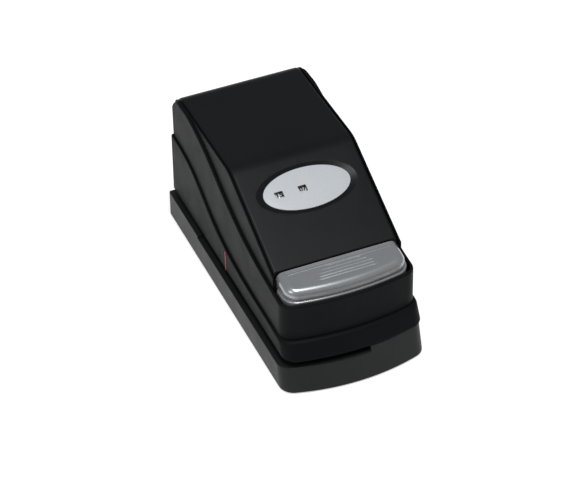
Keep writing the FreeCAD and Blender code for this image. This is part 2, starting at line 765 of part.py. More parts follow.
def make_bottom():
    """The sheet steel bottom plate, its screws and the four rubber feet."""
    left = "sizes.base_across - sizes.base_width / 2 + 3.4"
    right = "sizes.base_across + sizes.base_width / 2 - 3.4"
    rear = "sizes.base_depth / 2 - 3.4"
    corners = [
        (left, "0 - 98"), ("0 - 44", "0 - 108"), ("40", "0 - 108"), (right, "0 - 98"), (right, rear),
        (left, rear),
    ]
    holes = [(1.6, x, y) for x, y in BOSS_SPOTS]
    plate = plate_body("bottom_plate", corners, 1.2, holes, lift=PLATE_TOP - 1.2)
    piece(plate, "bottom_plate")
    heads = []
    for number, (x, y) in enumerate(BOSS_SPOTS):
        head = round_bar(f"bottom_screw_head_{number}", 2.8, 1, x, y, PLATE_TOP - 2.2)
        shank = round_bar(f"bottom_screw_shank_{number}", SCREW_RADIUS - 0.01, 10, x, y, PLATE_TOP - 1.2)
        heads.append(fuse(f"bottom_screw_{number}", [head, shank]))
    piece(group("bottom_screw_group", heads), "bottom_screws")
    feet = []
    for number, (x, y) in enumerate([(-40, -84), (40, -84), (-40, 92), (38, 92)]):
        feet.append(round_bar(f"foot_{number}", 7, PLATE_TOP - 1.2, x, y, 0))
    piece(group("foot_group", feet), "rubber_feet")


def make_case_screws():
    """Four long screws that hold the case down on the base."""
    screws = []
    for number, (x, y) in enumerate(CASE_SCREW_SPOTS):
        seat = DECK - 2 if x < size("throat_right") else CASE_FLOOR - 2
        head = round_bar(f"case_screw_head_{number}", 2.8, 2, x, y, seat - 2)
        shank = round_bar(f"case_screw_shank_{number}", SCREW_RADIUS - 0.01, FLOOR_TOP + 5 - seat, x, y, seat)
        screws.append(fuse(f"case_screw_{number}", [head, shank]))
    piece(group("case_screw_group", screws), "case_screws")


PIVOT_Y = "0 - sizes.hammer_front"
PIN_RADIUS = 2.5
TUBE_RADIUS = 4.5
HEAD_LEFT = -39.5
HEAD_RIGHT = -6.0
HEAD_DEPTH = 5.4
REST_SHIFT = 2.0
PAD_THICKNESS = 1.2
PAD_TOP = 20.2


def make_hammer():
    """The print hammer: a cranked lever under the deck with a rubber pad, on a pin between two brackets."""
    centre = "sizes.hammer_height"
    tube = round_bar("lever_tube", TUBE_RADIUS, 72, -31, PIVOT_Y, centre, ALONG_X)
    front_arm = block("lever_front_arm", 8, 46, 4, 32, "0 - sizes.rod_front - 5", 10)
    head_front = f"sizes.print_depth + {REST_SHIFT} - {HEAD_DEPTH / 2}"
    reach = f"sizes.hammer_front + {head_front} + 2"
    left_arm = block("lever_left_arm", 5, reach, 3.5, -31, PIVOT_Y, 6)
    right_arm = block("lever_right_arm", 5, reach, 3.5, -16, PIVOT_Y, 6)
    head_height = PAD_TOP - PAD_THICKNESS - 6
    head = block("lever_head", HEAD_RIGHT - HEAD_LEFT, HEAD_DEPTH, head_height, HEAD_LEFT, head_front, 6)
    lever = fuse("lever_joined", [tube, front_arm, left_arm, right_arm, head])
    bore = round_bar("lever_bore", f"{PIN_RADIUS} + sizes.running", 80, -35, PIVOT_Y, centre, ALONG_X)
    piece(cut("lever_bored", lever, bore), "hammer_lever")
    rubber = block(
        "platen_block", HEAD_RIGHT - HEAD_LEFT, HEAD_DEPTH, PAD_THICKNESS, HEAD_LEFT, head_front,
        PAD_TOP - PAD_THICKNESS,
    )
    piece(rubber, "platen_pad")
    pin = round_bar("pivot_pin", PIN_RADIUS, 83, -36.5, PIVOT_Y, centre, ALONG_X)
    piece(pin, "hammer_pivot_pin")
    brackets = []
    for number, left in enumerate((-35.5, 41.5)):
        ear = block(f"bracket_ear_{number}", 4, 12, 16 - PLATE_TOP, left, PIVOT_Y + " - 6", PLATE_TOP)
        hole = round_bar(f"bracket_hole_{number}", PIN_RADIUS, 6, left - 1, PIVOT_Y, centre, ALONG_X)
        brackets.append(cut(f"bracket_{number}", ear, hole))
    piece(group("bracket_group", brackets), "hammer_brackets")


# The push bar's frame, rod and spring.

FRAME_FRONT = -88.0
ROD_TOP = 55.6
BUSH_TOP = 29.0
SPRING_TOP = 45.0
WIRE_RADIUS = 0.6


def arm_outline():
    """Side outline of an arm of the bar frame as (depth, height): a long strip with its pivot at the rear."""
    low = f"sizes.pivot_height - sizes.arm_height / 2"
    high = f"sizes.pivot_height + sizes.arm_height / 2"
    rear = "sizes.pivot_rear + 8"
    return [(str(FRAME_FRONT), low), (rear, low), (rear, high), (str(FRAME_FRONT), high)]


def make_bar_frame():
    """The pressed frame under the push bar: two arms, a cross plate with a pad, and the pivot pins."""
    arms = []
    for name, side in (("left", -1), ("right", 1)):
        arm = plate_body(f"{name}_arm", arm_outline(), "sizes.arm_thickness", plane="YZ_Plane")
        centre = f"{side} * sizes.arm_across - sizes.arm_thickness / 2"
        place(arm, centre)
        arms.append(arm)
    half = "sizes.arm_across"
    cross = block("frame_cross", f"2 * {half} - 1.5", 14, 1.5, f"0.75 - {half}", FRAME_FRONT, 60)
    pad_bottom = ROD_TOP + 0.4
    pad_block = block(
        "frame_pad", 10, 10, 60.2 - pad_bottom, "sizes.rod_across - 5", "0 - sizes.rod_front - 5", pad_bottom
    )
    posts = []
    for number, x in enumerate((-34.0, 0.0, 34.0)):
        posts.append(round_bar(f"frame_post_{number}", 3, 73 - 61, x, -84, 61))
    joined = fuse("frame_joined", arms + [cross, pad_block] + posts)
    pivot = ("sizes.pivot_rear", "sizes.pivot_height", ALONG_X)
    bore = round_bar("frame_bore", "sizes.shaft_radius + sizes.running", 110, -55, *pivot)
    piece(cut("frame_bored", joined, bore), "bar_frame")
    outside = "(sizes.arm_across + sizes.arm_thickness / 2 + 0.6)"
    left_length = f"{outside} + sizes.left_plate + sizes.plate_thickness"
    right_length = f"{outside} - sizes.right_plate"
    left = round_bar("left_pivot", "sizes.shaft_radius", left_length, f"0 - {outside}", *pivot)
    right = round_bar("right_pivot", "sizes.shaft_radius", right_length, "sizes.right_plate", *pivot)
    piece(group("pivot_group", [left, right]), "bar_pivot_pins")


def make_push_rod():
    """The rod from the bar frame to the hammer lever, with its collar, bush and return spring."""
    y = "0 - sizes.rod_front"
    x = "sizes.rod_across"
    rod = round_bar("rod_bar", "sizes.rod_radius", ROD_TOP - 14.4, x, y, 14.4)
    collar = round_bar("rod_collar", 5.5, 2, x, y, SPRING_TOP + 0.1)
    piece(fuse("rod_joined", [rod, collar]), "push_rod")
    sleeve = round_bar("bush_sleeve", BUSH_RADIUS - 0.02, BUSH_TOP - 22, x, y, 22)
    flange = round_bar("bush_flange", 7, BUSH_TOP - FLOOR_TOP - 0.02, x, y, FLOOR_TOP + 0.02)
    hole = round_bar("bush_hole", "sizes.rod_radius + sizes.running", 20, x, y, 18)
    piece(cut("bush_bored", fuse("bush_joined", [sleeve, flange]), hole), "rod_bush")
    coil = doc.addObject("Part::Helix", "spring_line")
    coil.Pitch = 2.6
    coil.Height = SPRING_TOP - BUSH_TOP - 2 * WIRE_RADIUS - 0.2
    coil.Radius = 4.4
    foot = Vector(size("rod_across"), -size("rod_front"), BUSH_TOP + WIRE_RADIUS + 0.1)
    coil.Placement = Placement(foot, Rotation())
    doc.recompute()
    start = coil.Shape.Vertexes[0].Point
    wire = Part.Wire([Part.Circle(start, Y_AXIS, WIRE_RADIUS).toShape()])
    spring = Part.Wire(coil.Shape.Edges).makePipeShell([wire], True, True)
    shell_piece("return_spring", spring)


# The clockwork: side plates, type wheels, gears and motor.


SPACER_SPOTS = [(-38.0, 57.5), (81.0, 31.5)]


def make_side_plates():
    """The two side plates of the movement, with their feet, shaft bores and spacers."""
    outline = [
        ("0 - 52", str(FLOOR_TOP)), ("88", str(FLOOR_TOP)), ("88", "54"), ("30", "84"), ("0 - 10", "84"),
        ("0 - 52", "54"),
    ]
    bores = [
        ("sizes.shaft_radius", "sizes.print_depth", "sizes.shaft_height"),
        (2, "sizes.front_spool", "sizes.spool_height"),
        (2, "sizes.rear_spool", "sizes.spool_height"),
        (1.5, FRONT_ROLLER, ROLLER_HEIGHT),
        (1.5, REAR_ROLLER, ROLLER_HEIGHT),
        ("sizes.shaft_radius", "sizes.pivot_rear", "sizes.pivot_height"),
    ]
    bores += [(2, y, z) for y, z in SPACER_SPOTS]
    left = plate_body("left_plate_flat", outline, "sizes.plate_thickness", bores, "YZ_Plane")
    place(left, "sizes.left_plate")
    left_foot = block("left_plate_foot", 5, 100, 1.2, "sizes.left_plate - 4.5", -46, FLOOR_TOP)
    piece(fuse("left_plate_joined", [left, left_foot]), "left_side_plate")
    motor_bores = bores + [(2, CLUSTER_SPOT[0], CLUSTER_SPOT[1]), (4, MOTOR_SPOT[0], MOTOR_SPOT[1])]
    wide = [
        ("0 - 52", str(FLOOR_TOP)), ("97", str(FLOOR_TOP)), ("97", "66"), ("60", "80"), ("30", "84"),
        ("0 - 10", "84"), ("0 - 52", "54"),
    ]
    right = plate_body("right_plate_flat", wide, "sizes.plate_thickness", motor_bores, "YZ_Plane")
    place(right, "sizes.right_plate")
    right_foot = block("right_plate_foot", 6, 84, 1.2, "sizes.right_plate + 1", -46, FLOOR_TOP)
    piece(fuse("right_plate_joined", [right, right_foot]), "right_side_plate")
    length = "sizes.right_plate - sizes.left_plate - sizes.plate_thickness"
    start = "sizes.left_plate + sizes.plate_thickness"
    rods = []
    for number, (y, z) in enumerate(SPACER_SPOTS):
        tube = round_bar(f"spacer_tube_{number}", 3, length, start, y, z, ALONG_X)
        over_plates = "sizes.right_plate - sizes.left_plate + sizes.plate_thickness"
        pin = round_bar(f"spacer_pin_{number}", 2, over_plates, "sizes.left_plate", y, z, ALONG_X)
        rods.append(fuse(f"spacer_{number}", [tube, pin]))
    piece(group("spacer_group", rods), "frame_spacers")
    shaft = round_bar("type_bar", "sizes.shaft_radius", "sizes.right_plate - sizes.left_plate + 2.5",
                      "sizes.left_plate - 0.5", "sizes.print_depth", "sizes.shaft_height", ALONG_X)
    piece(shaft, "type_shaft")
    screws = []
    spots = [(size("left_plate") - 2.6, y) for y in (-40, 48)]
    spots += [(size("right_plate") + 4.4, y) for y in (-40, 32)]
    for number, (x, y) in enumerate(spots):
        screws.append(round_bar(f"frame_screw_{number}", 2.2, 1.4, x, y, FLOOR_TOP + 1.2))
    piece(group("frame_screw_group", screws), "frame_screws")


TYPE_HEIGHT = 0.6
RIM_DEPTH = 3.0
HUB_RADIUS = 7.0


def make_type_wheel(label, left, right, type_left, type_right, count, block_width, hub_right=None):
    """A type wheel turned about its shaft: hub, web, rim, and a ring of raised type blocks."""
    hub_right = right if hub_right is None else hub_right
    rim = f"sizes.type_radius - {TYPE_HEIGHT}"
    inner = f"sizes.type_radius - {TYPE_HEIGHT + RIM_DEPTH}"
    bore = "sizes.shaft_radius + sizes.running"
    middle = (left + right) / 2
    section = [
        (bore, left), (HUB_RADIUS, left), (HUB_RADIUS, middle - 1), (inner, middle - 1), (inner, left),
        (rim, left), (rim, right), (inner, right), (inner, middle + 1), (HUB_RADIUS, middle + 1),
        (HUB_RADIUS, hub_right), (bore, hub_right),
    ]
    wheel = turned_body(label, section)
    sketch = new_sketch(wheel, label + "_type", "XY_Plane", type_left)
    half = block_width / 2
    add_polygon(
        sketch,
        [
            (f"{rim} - 0.5", -half), ("sizes.type_radius", -half), ("sizes.type_radius", half),
            (f"{rim} - 0.5", half),
        ],
    )
    type_block = pad(wheel, sketch, type_right - type_left)
    repeat_round(wheel, type_block, sketch, count)
    place(wheel, 0, "sizes.print_depth", "sizes.shaft_height", ALONG_X)
    piece(wheel, label)


def make_type_wheels():
    """Month, date, hour and minute wheels side by side on the type shaft."""
    make_type_wheel("month_wheel", -39.6, -34.6, -39.1, -35.1, 12, 5.0)
    make_type_wheel("date_wheel", -33.8, -28.8, -33.3, -29.3, 31, 3.4)
    make_type_wheel("hour_wheel", -28.0, -15.9, -27.4, -25.0, 24, 3.4)
    make_type_wheel("minute_wheel", -15.2, 2.0, -14.6, -7.4, 60, 2.2, 3.0)


def toothed_disc(label, teeth, left, right, bore, phase=0.0):
    """A disc with straight-sided teeth round it, along its own Z axis. Phase is in teeth."""
    root = f"sizes.tooth_module * {teeth / 2 - 1.2}"
    tip = f"sizes.tooth_module * {teeth / 2 + 0.85}"
    gear = new_body(label)
    sketch = new_sketch(gear, label + "_disc", "XY_Plane", left)
    add_circle(sketch, root)
    add_circle(sketch, bore)
    pad(gear, sketch, right - left)
    tooth_sketch = new_sketch(gear, label + "_tooth", "XY_Plane", left)
    add_polygon(
        tooth_sketch,
        [
            (f"{root} - 0.3", "0 - sizes.tooth_module * 0.85"), (tip, "0 - sizes.tooth_module * 0.36"),
            (tip, "sizes.tooth_module * 0.36"), (f"{root} - 0.3", "sizes.tooth_module * 0.85"),
        ],
    )
    tooth = pad(gear, tooth_sketch, right - left)
    repeat_round(gear, tooth, tooth_sketch, teeth)
    return gear


MINUTE_TEETH = 60
PINION_TEETH = 12
CLUSTER_TEETH = 48
CLUSTER_ANGLE = -5.0
MOTOR_ANGLE = -10.0


def gear_spot(origin, teeth_a, teeth_b, angle):
    """Where a gear's centre goes, given the gear it meshes with and the direction between them."""
    distance = size("tooth_module") * (teeth_a + teeth_b) / 2 + size("gear_play")
    turn = math.radians(angle)
    return (origin[0] + distance * math.cos(turn), origin[1] + distance * math.sin(turn))


WHEEL_SPOT = (size("print_depth"), size("shaft_height"))
CLUSTER_SPOT = gear_spot(WHEEL_SPOT, MINUTE_TEETH, PINION_TEETH, CLUSTER_ANGLE)
MOTOR_SPOT = gear_spot(CLUSTER_SPOT, CLUSTER_TEETH, PINION_TEETH, MOTOR_ANGLE)
ROLLER_HEIGHT = size("ribbon_height") + 2.1
FRONT_ROLLER = -16.0
REAR_ROLLER = 34.0


def make_gears():
    """The minute gear, the cluster gear between it and the motor, and the motor's pinion."""
    minute = toothed_disc("minute_gear_disc", MINUTE_TEETH, 3.0, 7.0, "sizes.shaft_radius + sizes.running")
    place(minute, 0, *WHEEL_SPOT, first_tooth_at(CLUSTER_ANGLE))
    piece(minute, "minute_gear")
    small = toothed_disc("cluster_pinion", PINION_TEETH, 2.6, 9.0, 2.0 + RUNNING)
    place(small, 0, *CLUSTER_SPOT, first_tooth_at(CLUSTER_ANGLE + 180 + 180 / PINION_TEETH))
    large = toothed_disc("cluster_wheel", CLUSTER_TEETH, 9.0, 12.0, 2.0 + RUNNING)
    place(large, 0, *CLUSTER_SPOT, first_tooth_at(MOTOR_ANGLE))
    piece(fuse("cluster_joined", [small, large]), "cluster_gear")
    arbor = round_bar("arbor_bar", 2, size("right_plate") + 1.5 - 2.0, 2.0, *CLUSTER_SPOT, ALONG_X)
    piece(arbor, "cluster_arbor")
    pinion = toothed_disc("motor_pinion_disc", PINION_TEETH, 8.6, 12.4, 1.5)
    place(pinion, 0, *MOTOR_SPOT, first_tooth_at(MOTOR_ANGLE + 180 + 180 / PINION_TEETH))
    shaft = round_bar("motor_shaft", 1.5, 15, 8.6, *MOTOR_SPOT, ALONG_X)
    piece(fuse("pinion_joined", [pinion, shaft]), "motor_pinion")


def first_tooth_at(angle):
    """Lays a gear's axis along X with its first tooth at an angle from +Y towards +Z."""
    return Rotation(X_AXIS, angle).multiply(Rotation(Vector(0, 1, 0), 90)).multiply(Rotation(Z_AXIS, 90))


MOTOR_RADIUS = 21.0


def make_motor():
    """The small synchronous motor on the right side plate, with its front boss and two lugs."""
    y, z = MOTOR_SPOT
    left = size("right_plate") + size("plate_thickness")
    can = round_bar("motor_can", MOTOR_RADIUS, 14, left, y, z, ALONG_X)
    rim = round_bar("motor_rim", MOTOR_RADIUS + 0.8, 2, left + 7, y, z, ALONG_X)
    lug = block("motor_lug", 1.2, 2 * MOTOR_RADIUS + 8, 8, left, y - MOTOR_RADIUS - 4, z - 4)
    hollow = round_bar("motor_hollow", 2.0, 4, left - 1, y, z, ALONG_X)
    piece(cut("motor_bored", fuse("motor_joined", [can, rim, lug]), hollow), "clock_motor")


SPOOL_LEFT = -41.4
SPOOL_RIGHT = -3.6
SPOOL_RADIUS = 10.0
CORE_RADIUS = 4.0
ROLL_RADIUS = 7.5


def make_ribbon():
    """Two ribbon spools with their wound rolls and arbors, the guide rollers and the ribbon between them."""
    start = "sizes.left_plate"
    length = "sizes.right_plate - sizes.left_plate + 1.5"
    arbors = []
    for name in ("front", "rear"):
        spot = (f"sizes.{name}_spool", "sizes.spool_height", ALONG_X)
        core = round_bar(f"{name}_core", CORE_RADIUS, SPOOL_RIGHT - SPOOL_LEFT, SPOOL_LEFT, *spot)
        sides = []
        for number, left in enumerate((SPOOL_LEFT, SPOOL_RIGHT - 1)):
            sides.append(round_bar(f"{name}_side_{number}", SPOOL_RADIUS, 1, left, *spot))
        bore = round_bar(f"{name}_bore", 2 + RUNNING, 50, SPOOL_LEFT - 2, *spot)
        piece(cut(f"{name}_bored", fuse(f"{name}_joined", [core] + sides), bore), f"{name}_spool")
        wound = round_bar(f"{name}_wound", ROLL_RADIUS, "sizes.ribbon_width", SPOOL_LEFT + 1.3, *spot)
        inside = round_bar(f"{name}_wound_bore", CORE_RADIUS, 50, SPOOL_LEFT - 2, *spot)
        piece(cut(f"{name}_wound_ring", wound, inside), f"{name}_ribbon_roll")
        arbors.append(round_bar(f"{name}_arbor", 2, length, start, *spot))
    piece(group("arbor_group", arbors), "spool_arbors")
    rollers = []
    for number, y in enumerate((FRONT_ROLLER, REAR_ROLLER)):
        rod = round_bar(f"roller_rod_{number}", 1.5, length, start, y, ROLLER_HEIGHT, ALONG_X)
        sleeve = round_bar(f"roller_sleeve_{number}", 1.9, 60, -41, y, ROLLER_HEIGHT, ALONG_X)
        rollers.append(fuse(f"roller_{number}", [rod, sleeve]))
    piece(group("roller_group", rollers), "ribbon_guides")
    shell_piece("ribbon", ribbon_band())


def ribbon_band():
    """The inked ribbon: from each roll down to its guide, and level across the print slot."""
    low = size("ribbon_height")
    thick = 0.15
    reach = ROLL_RADIUS + 0.4
    outline = [
        (FRONT_ROLLER - 1.2, low), (REAR_ROLLER + 1.2, low),
        (size("rear_spool") - reach * 0.55, size("spool_height") - reach * 0.95),
        (size("rear_spool") - reach * 0.60, size("spool_height") - reach * 0.90 ),
        (REAR_ROLLER + 1.15, low + thick), (FRONT_ROLLER - 1.15, low + thick),
        (size("front_spool") + reach * 0.60, size("spool_height") - reach * 0.90),
        (size("front_spool") + reach * 0.55, size("spool_height") - reach * 0.95), (FRONT_ROLLER - 1.2, low),
    ]
    points = [Vector(0, *p) for p in outline]
    face = Part.Face(Part.makePolygon(points))
    face.translate(Vector(SPOOL_LEFT + 1.3, 0, 0))
    return face.extrude(X_AXIS * size("ribbon_width"))


LOCK_FACE = 53.2
LOCK_INSIDE = 38.0
CAM_THICKNESS = 2.0


def make_lock():
    """The key lock through the right wall: barrel, retaining nut and the cam inside."""
    y = "sizes.lock_depth"
    z = "sizes.lock_height"
    barrel = round_bar("lock_bar", LOCK_RADIUS - 0.05, LOCK_FACE - LOCK_INSIDE, LOCK_INSIDE, y, z, ALONG_X)
    slot = block("lock_slot", 4, 1.4, 6, LOCK_FACE - 3, y + " - 0.7", z + " - 3")
    piece(cut("lock_cut", barrel, slot), "lock_barrel")
    outer = round_bar("nut_outer", 10.5, 3, 46.8, y, z, ALONG_X)
    inner = round_bar("nut_inner", LOCK_RADIUS, 5, 45, y, z, ALONG_X)
    piece(cut("nut_ring", outer, inner), "lock_nut")
    arm = block("cam_arm", CAM_THICKNESS, 6, 13, LOCK_INSIDE - CAM_THICKNESS, y + " - 3", z)
    boss = round_bar("cam_boss", 4, CAM_THICKNESS, LOCK_INSIDE - CAM_THICKNESS, y, z, ALONG_X)
    piece(fuse("cam_joined", [arm, boss]), "lock_cam")


def make_cover_catch():
    """The hooked catch that hangs from the cover and that the lock's cam holds down."""
    left = LOCK_INSIDE - CAM_THICKNESS - 3
    top = size("crease_height") - WALL - 1.5
    strip = block("catch_strip", 8, 2, top - 79.5, left, 44, 79.5)
    foot = block("catch_foot", 8, 9.5, 2.2, left, 44, 79.5)
    head = block("catch_head", 10, 8, 1.2, left - 1, 41, top - 0.8)
    piece(fuse("catch_joined", [strip, foot, head]), "cover_catch")


def make_print_mark():
    """The red line on the left side of the lower case that marks the print line."""
    half = size("case_width") / 2
    bar = box_between((-half - 0.25, size("print_depth") - 0.45, CASE_FLOOR + 0.6),
                      (-half + 2.0, size("print_depth") + 0.45, 43.0))
    shell_piece("print_line_mark", bar.cut(case_prism()))


def check_and_write():
    """Checks every object and piece, then writes one STEP file per piece with the base in the middle."""
    doc.recompute()
    failed = [o.Name for o in doc.Objects if {"Invalid", "Error"} & set(o.State)]
    if failed:
        raise RuntimeError("objects failed: " + ", ".join(failed))
    os.makedirs("parts", exist_ok=True)
    to_frame = X_AXIS * -size("base_across")
    for obj in PIECES:
        shape = obj.Shape.copy()
        shape.translate(to_frame)
        if shape.isNull() or not shape.isValid() or not shape.Solids:
            raise RuntimeError("bad shape: " + obj.Label)
        shape.exportStep(f"parts/{obj.Label}.step")
        print(f"{obj.Label}: {len(shape.Solids)} solids, {shape.Volume:.0f} mm3")


for make in (
    make_base,
    make_lower_case,
    make_mid_case,
    make_upper_case,
    make_top_cover,
    make_label,
    make_push_bar,
    make_power_inlet,
    make_bottom,
    make_case_screws,
    make_hammer,
    make_bar_frame,
    make_push_rod,
    make_side_plates,
    make_type_wheels,
    make_gears,
    make_motor,
    make_ribbon,
    make_lock,
    make_cover_catch,
    make_print_mark,
):
    make()
check_and_write()
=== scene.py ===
"""Looks of the punch time clock: shells, silver bar, label, number bands, materials, stage and camera."""

import json
import math

import bmesh
import bpy
from mathutils import Matrix, Vector


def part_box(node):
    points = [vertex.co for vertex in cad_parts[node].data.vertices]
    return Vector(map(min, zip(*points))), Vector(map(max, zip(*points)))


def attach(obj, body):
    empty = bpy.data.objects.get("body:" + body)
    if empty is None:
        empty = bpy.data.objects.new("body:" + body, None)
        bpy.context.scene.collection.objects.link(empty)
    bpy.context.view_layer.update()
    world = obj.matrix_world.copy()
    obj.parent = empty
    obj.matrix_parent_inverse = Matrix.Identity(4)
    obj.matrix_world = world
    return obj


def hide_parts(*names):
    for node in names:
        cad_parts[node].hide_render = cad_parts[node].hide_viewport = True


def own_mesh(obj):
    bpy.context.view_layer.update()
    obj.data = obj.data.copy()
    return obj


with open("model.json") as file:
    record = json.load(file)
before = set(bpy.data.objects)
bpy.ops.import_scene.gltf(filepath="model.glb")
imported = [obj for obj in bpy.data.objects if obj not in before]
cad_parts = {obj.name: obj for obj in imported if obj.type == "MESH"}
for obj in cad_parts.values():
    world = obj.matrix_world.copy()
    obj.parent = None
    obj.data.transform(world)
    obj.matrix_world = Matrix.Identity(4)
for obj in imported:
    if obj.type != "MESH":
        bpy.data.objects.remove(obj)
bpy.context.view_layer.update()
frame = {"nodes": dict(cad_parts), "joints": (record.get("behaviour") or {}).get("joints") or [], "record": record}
MM = 0.001


# The sizes below are counted from the case's middle plane, which lies this far to the right in the frame.
MIDDLE = sum(corner.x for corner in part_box("mid_case")) / 2 / MM


def box_mm(node):
    """A CAD node's lowest and highest corners in millimetres, from the case's middle plane."""
    low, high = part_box(node)
    aside = Vector((MIDDLE, 0, 0))
    return low / MM - aside, high / MM - aside


def joint(name):
    """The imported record's entry for a joint."""
    return next(item for item in frame["joints"] if item["name"] == name)


# Driving sizes in millimetres. Outer sizes come from the frame, and the rest are the shapes between them.

BASE_LOW, BASE_HIGH = box_mm("base")
BAND_LOW, BAND_HIGH = box_mm("lower_case")
MID_LOW, MID_HIGH = box_mm("mid_case")
COVER_LOW, COVER_HIGH = box_mm("top_cover")
BAR_LOW, BAR_HIGH = box_mm("push_bar")

CORNER = 11.5
REAR_CORNER = 1.8
WALL = 2.2
CASE_BOW = 210.0
BASE_BOW = 165.0
CASE_FLOOR = BAND_LOW.z
FLOOR_TOP = CASE_FLOOR + 1.6
DECK = CASE_FLOOR - 4.6
THROAT_RIGHT = 9.0
THROAT_REAR = 58.0
BASE_LEAN = 0.278
BASE_EDGE = 0.7
STRIP_WIDTH = 7.7
STRIP_RISE = 1.8
CASE_LEAN = 0.53
CASE_DRAFT = 0.008
SLOPE = math.radians(25)
CREASE = (10.0, 118.3)
CREASE_RADIUS = 26.0
REAR_TOP = 115.6
REAR_RADIUS = 14.0
REAR_END = 100.0
COVER_HALF = COVER_HIGH.x
COVER_FRONT = COVER_LOW.y
COVER_RIM = 6.0
COVER_EDGE = 2.4
COVER_LIP = 0.8
COVER_COLUMNS = 12
COVER_TAIL = 103.4
TAIL_GAP = 0.6
LOCK_RADIUS = 8.0
ROD_HOLE = 5.0
WALL_REAR_RADIUS = 17.0
OVAL_DOWN = 30.3
OVAL_ACROSS = 0.9
OVAL = (67.5, 33.2)
BEZEL = (78.8, 39.5)
BEZEL_DEPTH = 1.3
BEZEL_RISE = ((0.0, -1.15), (0.12, -1.02), (0.4, -0.68), (0.7, -0.33), (0.9, -0.11), (1.0, 0.03))
LABEL_TOP = -0.5
WINDOW = (6.6, 5.4)
WINDOW_SPOTS = {"hour": -20.8, "minute": -2.5}
WINDOW_CORNER = 0.6
PANE_DEPTH = 0.85
PRINT_SLOT = ((-40.3, 5.2), (-5.2, 14.6))

# How deep the mid case and the band's seat for it reach under the lower ledge, how far the seat stays clear
# of the mid case, and the walls of both.
MID_FOOT = 5.0
SEAT_FOOT = 5.1
SEAT_GAP = 0.3
SEAT_WALL = 2.0
MID_WALL = 2.15

# The levels between which the plans of the band and of the mid case are drawn. They lie past the shells.
BAND_TOP = 84.0
MID_LEVELS = (25.0, 125.0)

# Levels and a depth past the walls and floors that the cutters pass through.
BELOW = -5.0
ABOVE = 60.0
BEHIND = 140.0

# The two S-shaped ledges along the sides, as (depth, height) points of a smooth curve, rear to front.
LOWER_LEDGE = [
    (135, 77.0), (100, 76.6), (78, 72.5), (60, 65.0), (40, 54.8), (20, 47.6), (-2, 42.8), (-30, 40.0),
    (-65, 39.0), (-135, 38.4),
]
UPPER_LEDGE = [
    (135, 118.6), (104, 117.6), (82, 115.0), (62, 110.6), (40, 102.2), (20, 92.8), (0, 84.6), (-20, 78.2),
    (-45, 73.2), (-70, 70.4), (-90, 69.5), (-135, 69.4),
]


# Mesh helpers. They take millimetres and make objects in metres.


def smooth(low, high, value):
    """0 below low, 1 above high, and a smooth step between."""
    share = min(max((value - low) / (high - low), 0.0), 1.0)
    return share * share * (3 - 2 * share)


def curve_height(points, depth):
    """The height of a smooth curve through (depth, height) points that run from the rear to the front."""
    spots = points[::-1]
    slopes = []
    for index in range(len(spots)):
        before = spots[max(index - 1, 0)]
        after = spots[min(index + 1, len(spots) - 1)]
        slopes.append((after[1] - before[1]) / (after[0] - before[0]))
    index = 0
    while index < len(spots) - 2 and depth > spots[index + 1][0]:
        index += 1
    (y0, z0), (y1, z1) = spots[index], spots[index + 1]
    run = y1 - y0
    t = (depth - y0) / run
    return (
        z0 * (2 * t**3 - 3 * t**2 + 1) + slopes[index] * run * (t**3 - 2 * t**2 + t)
        + z1 * (3 * t**2 - 2 * t**3) + slopes[index + 1] * run * (t**3 - t**2)
    )


def lower_ledge(depth):
    return curve_height(LOWER_LEDGE, depth)


def upper_ledge(depth):
    return curve_height(UPPER_LEDGE, depth)


def mesh_piece(name, points, faces, material, angle=30.0):
    """A mesh object from points in millimetres, shaded smooth up to an angle."""
    mesh = bpy.data.meshes.new(name)
    aside = Vector((MIDDLE, 0, 0))
    mesh.from_pydata([(Vector(point) + aside) * MM for point in points], [], faces)
    work = bmesh.new()
    work.from_mesh(mesh)
    bmesh.ops.recalc_face_normals(work, faces=work.faces)
    work.to_mesh(mesh)
    work.free()
    return finish_mesh(name, mesh, material, angle)


def finish_mesh(name, mesh, material, angle=30.0):
    """Links a mesh as an object, with its material and its shading."""
    if material is not None:
        mesh.materials.append(material)
    shade(mesh, angle)
    obj = bpy.data.objects.new(name, mesh)
    bpy.context.scene.collection.objects.link(obj)
    return obj


def shade(mesh, angle=30.0):
    """Smooth shading with sharp edges above an angle."""
    mesh.shade_smooth()
    mesh.set_sharp_from_angle(angle=math.radians(angle))


def loft(rings, closed_loop=False, caps=True):
    """Points and faces through closed rings with the same number of points each."""
    count = len(rings[0])
    points = [point for ring in rings for point in ring]
    faces = []
    spans = len(rings) if closed_loop else len(rings) - 1
    for level in range(spans):
        upper = (level + 1) % len(rings)
        for index in range(count):
            after = (index + 1) % count
            faces.append(
                (level * count + index, level * count + after, upper * count + after, upper * count + index)
            )
    if caps and not closed_loop:
        faces.append(tuple(range(count))[::-1])
        start = (len(rings) - 1) * count
        faces.append(tuple(range(start, start + count)))
    return points, faces


def lofted(name, rings, material, closed_loop=False, angle=30.0):
    points, faces = loft(rings, closed_loop)
    return mesh_piece(name, points, faces, material, angle)


def boxed(name, low, high):
    """A plain box, used only as a cutter."""
    points = [(x, y, z) for z in (low[2], high[2]) for y in (low[1], high[1]) for x in (low[0], high[0])]
    faces = [(0, 2, 3, 1), (4, 5, 7, 6), (0, 1, 5, 4), (2, 6, 7, 3), (0, 4, 6, 2), (1, 3, 7, 5)]
    return mesh_piece(name, points, faces, None)


def round_cutter(name, radius, low, high, x, y):
    """An upright round cutter."""
    turns = [2 * math.pi * index / 32 for index in range(32)]
    rings = [[(x + radius * math.cos(t), y + radius * math.sin(t), z) for t in turns] for z in (low, high)]
    return lofted(name, rings, None)


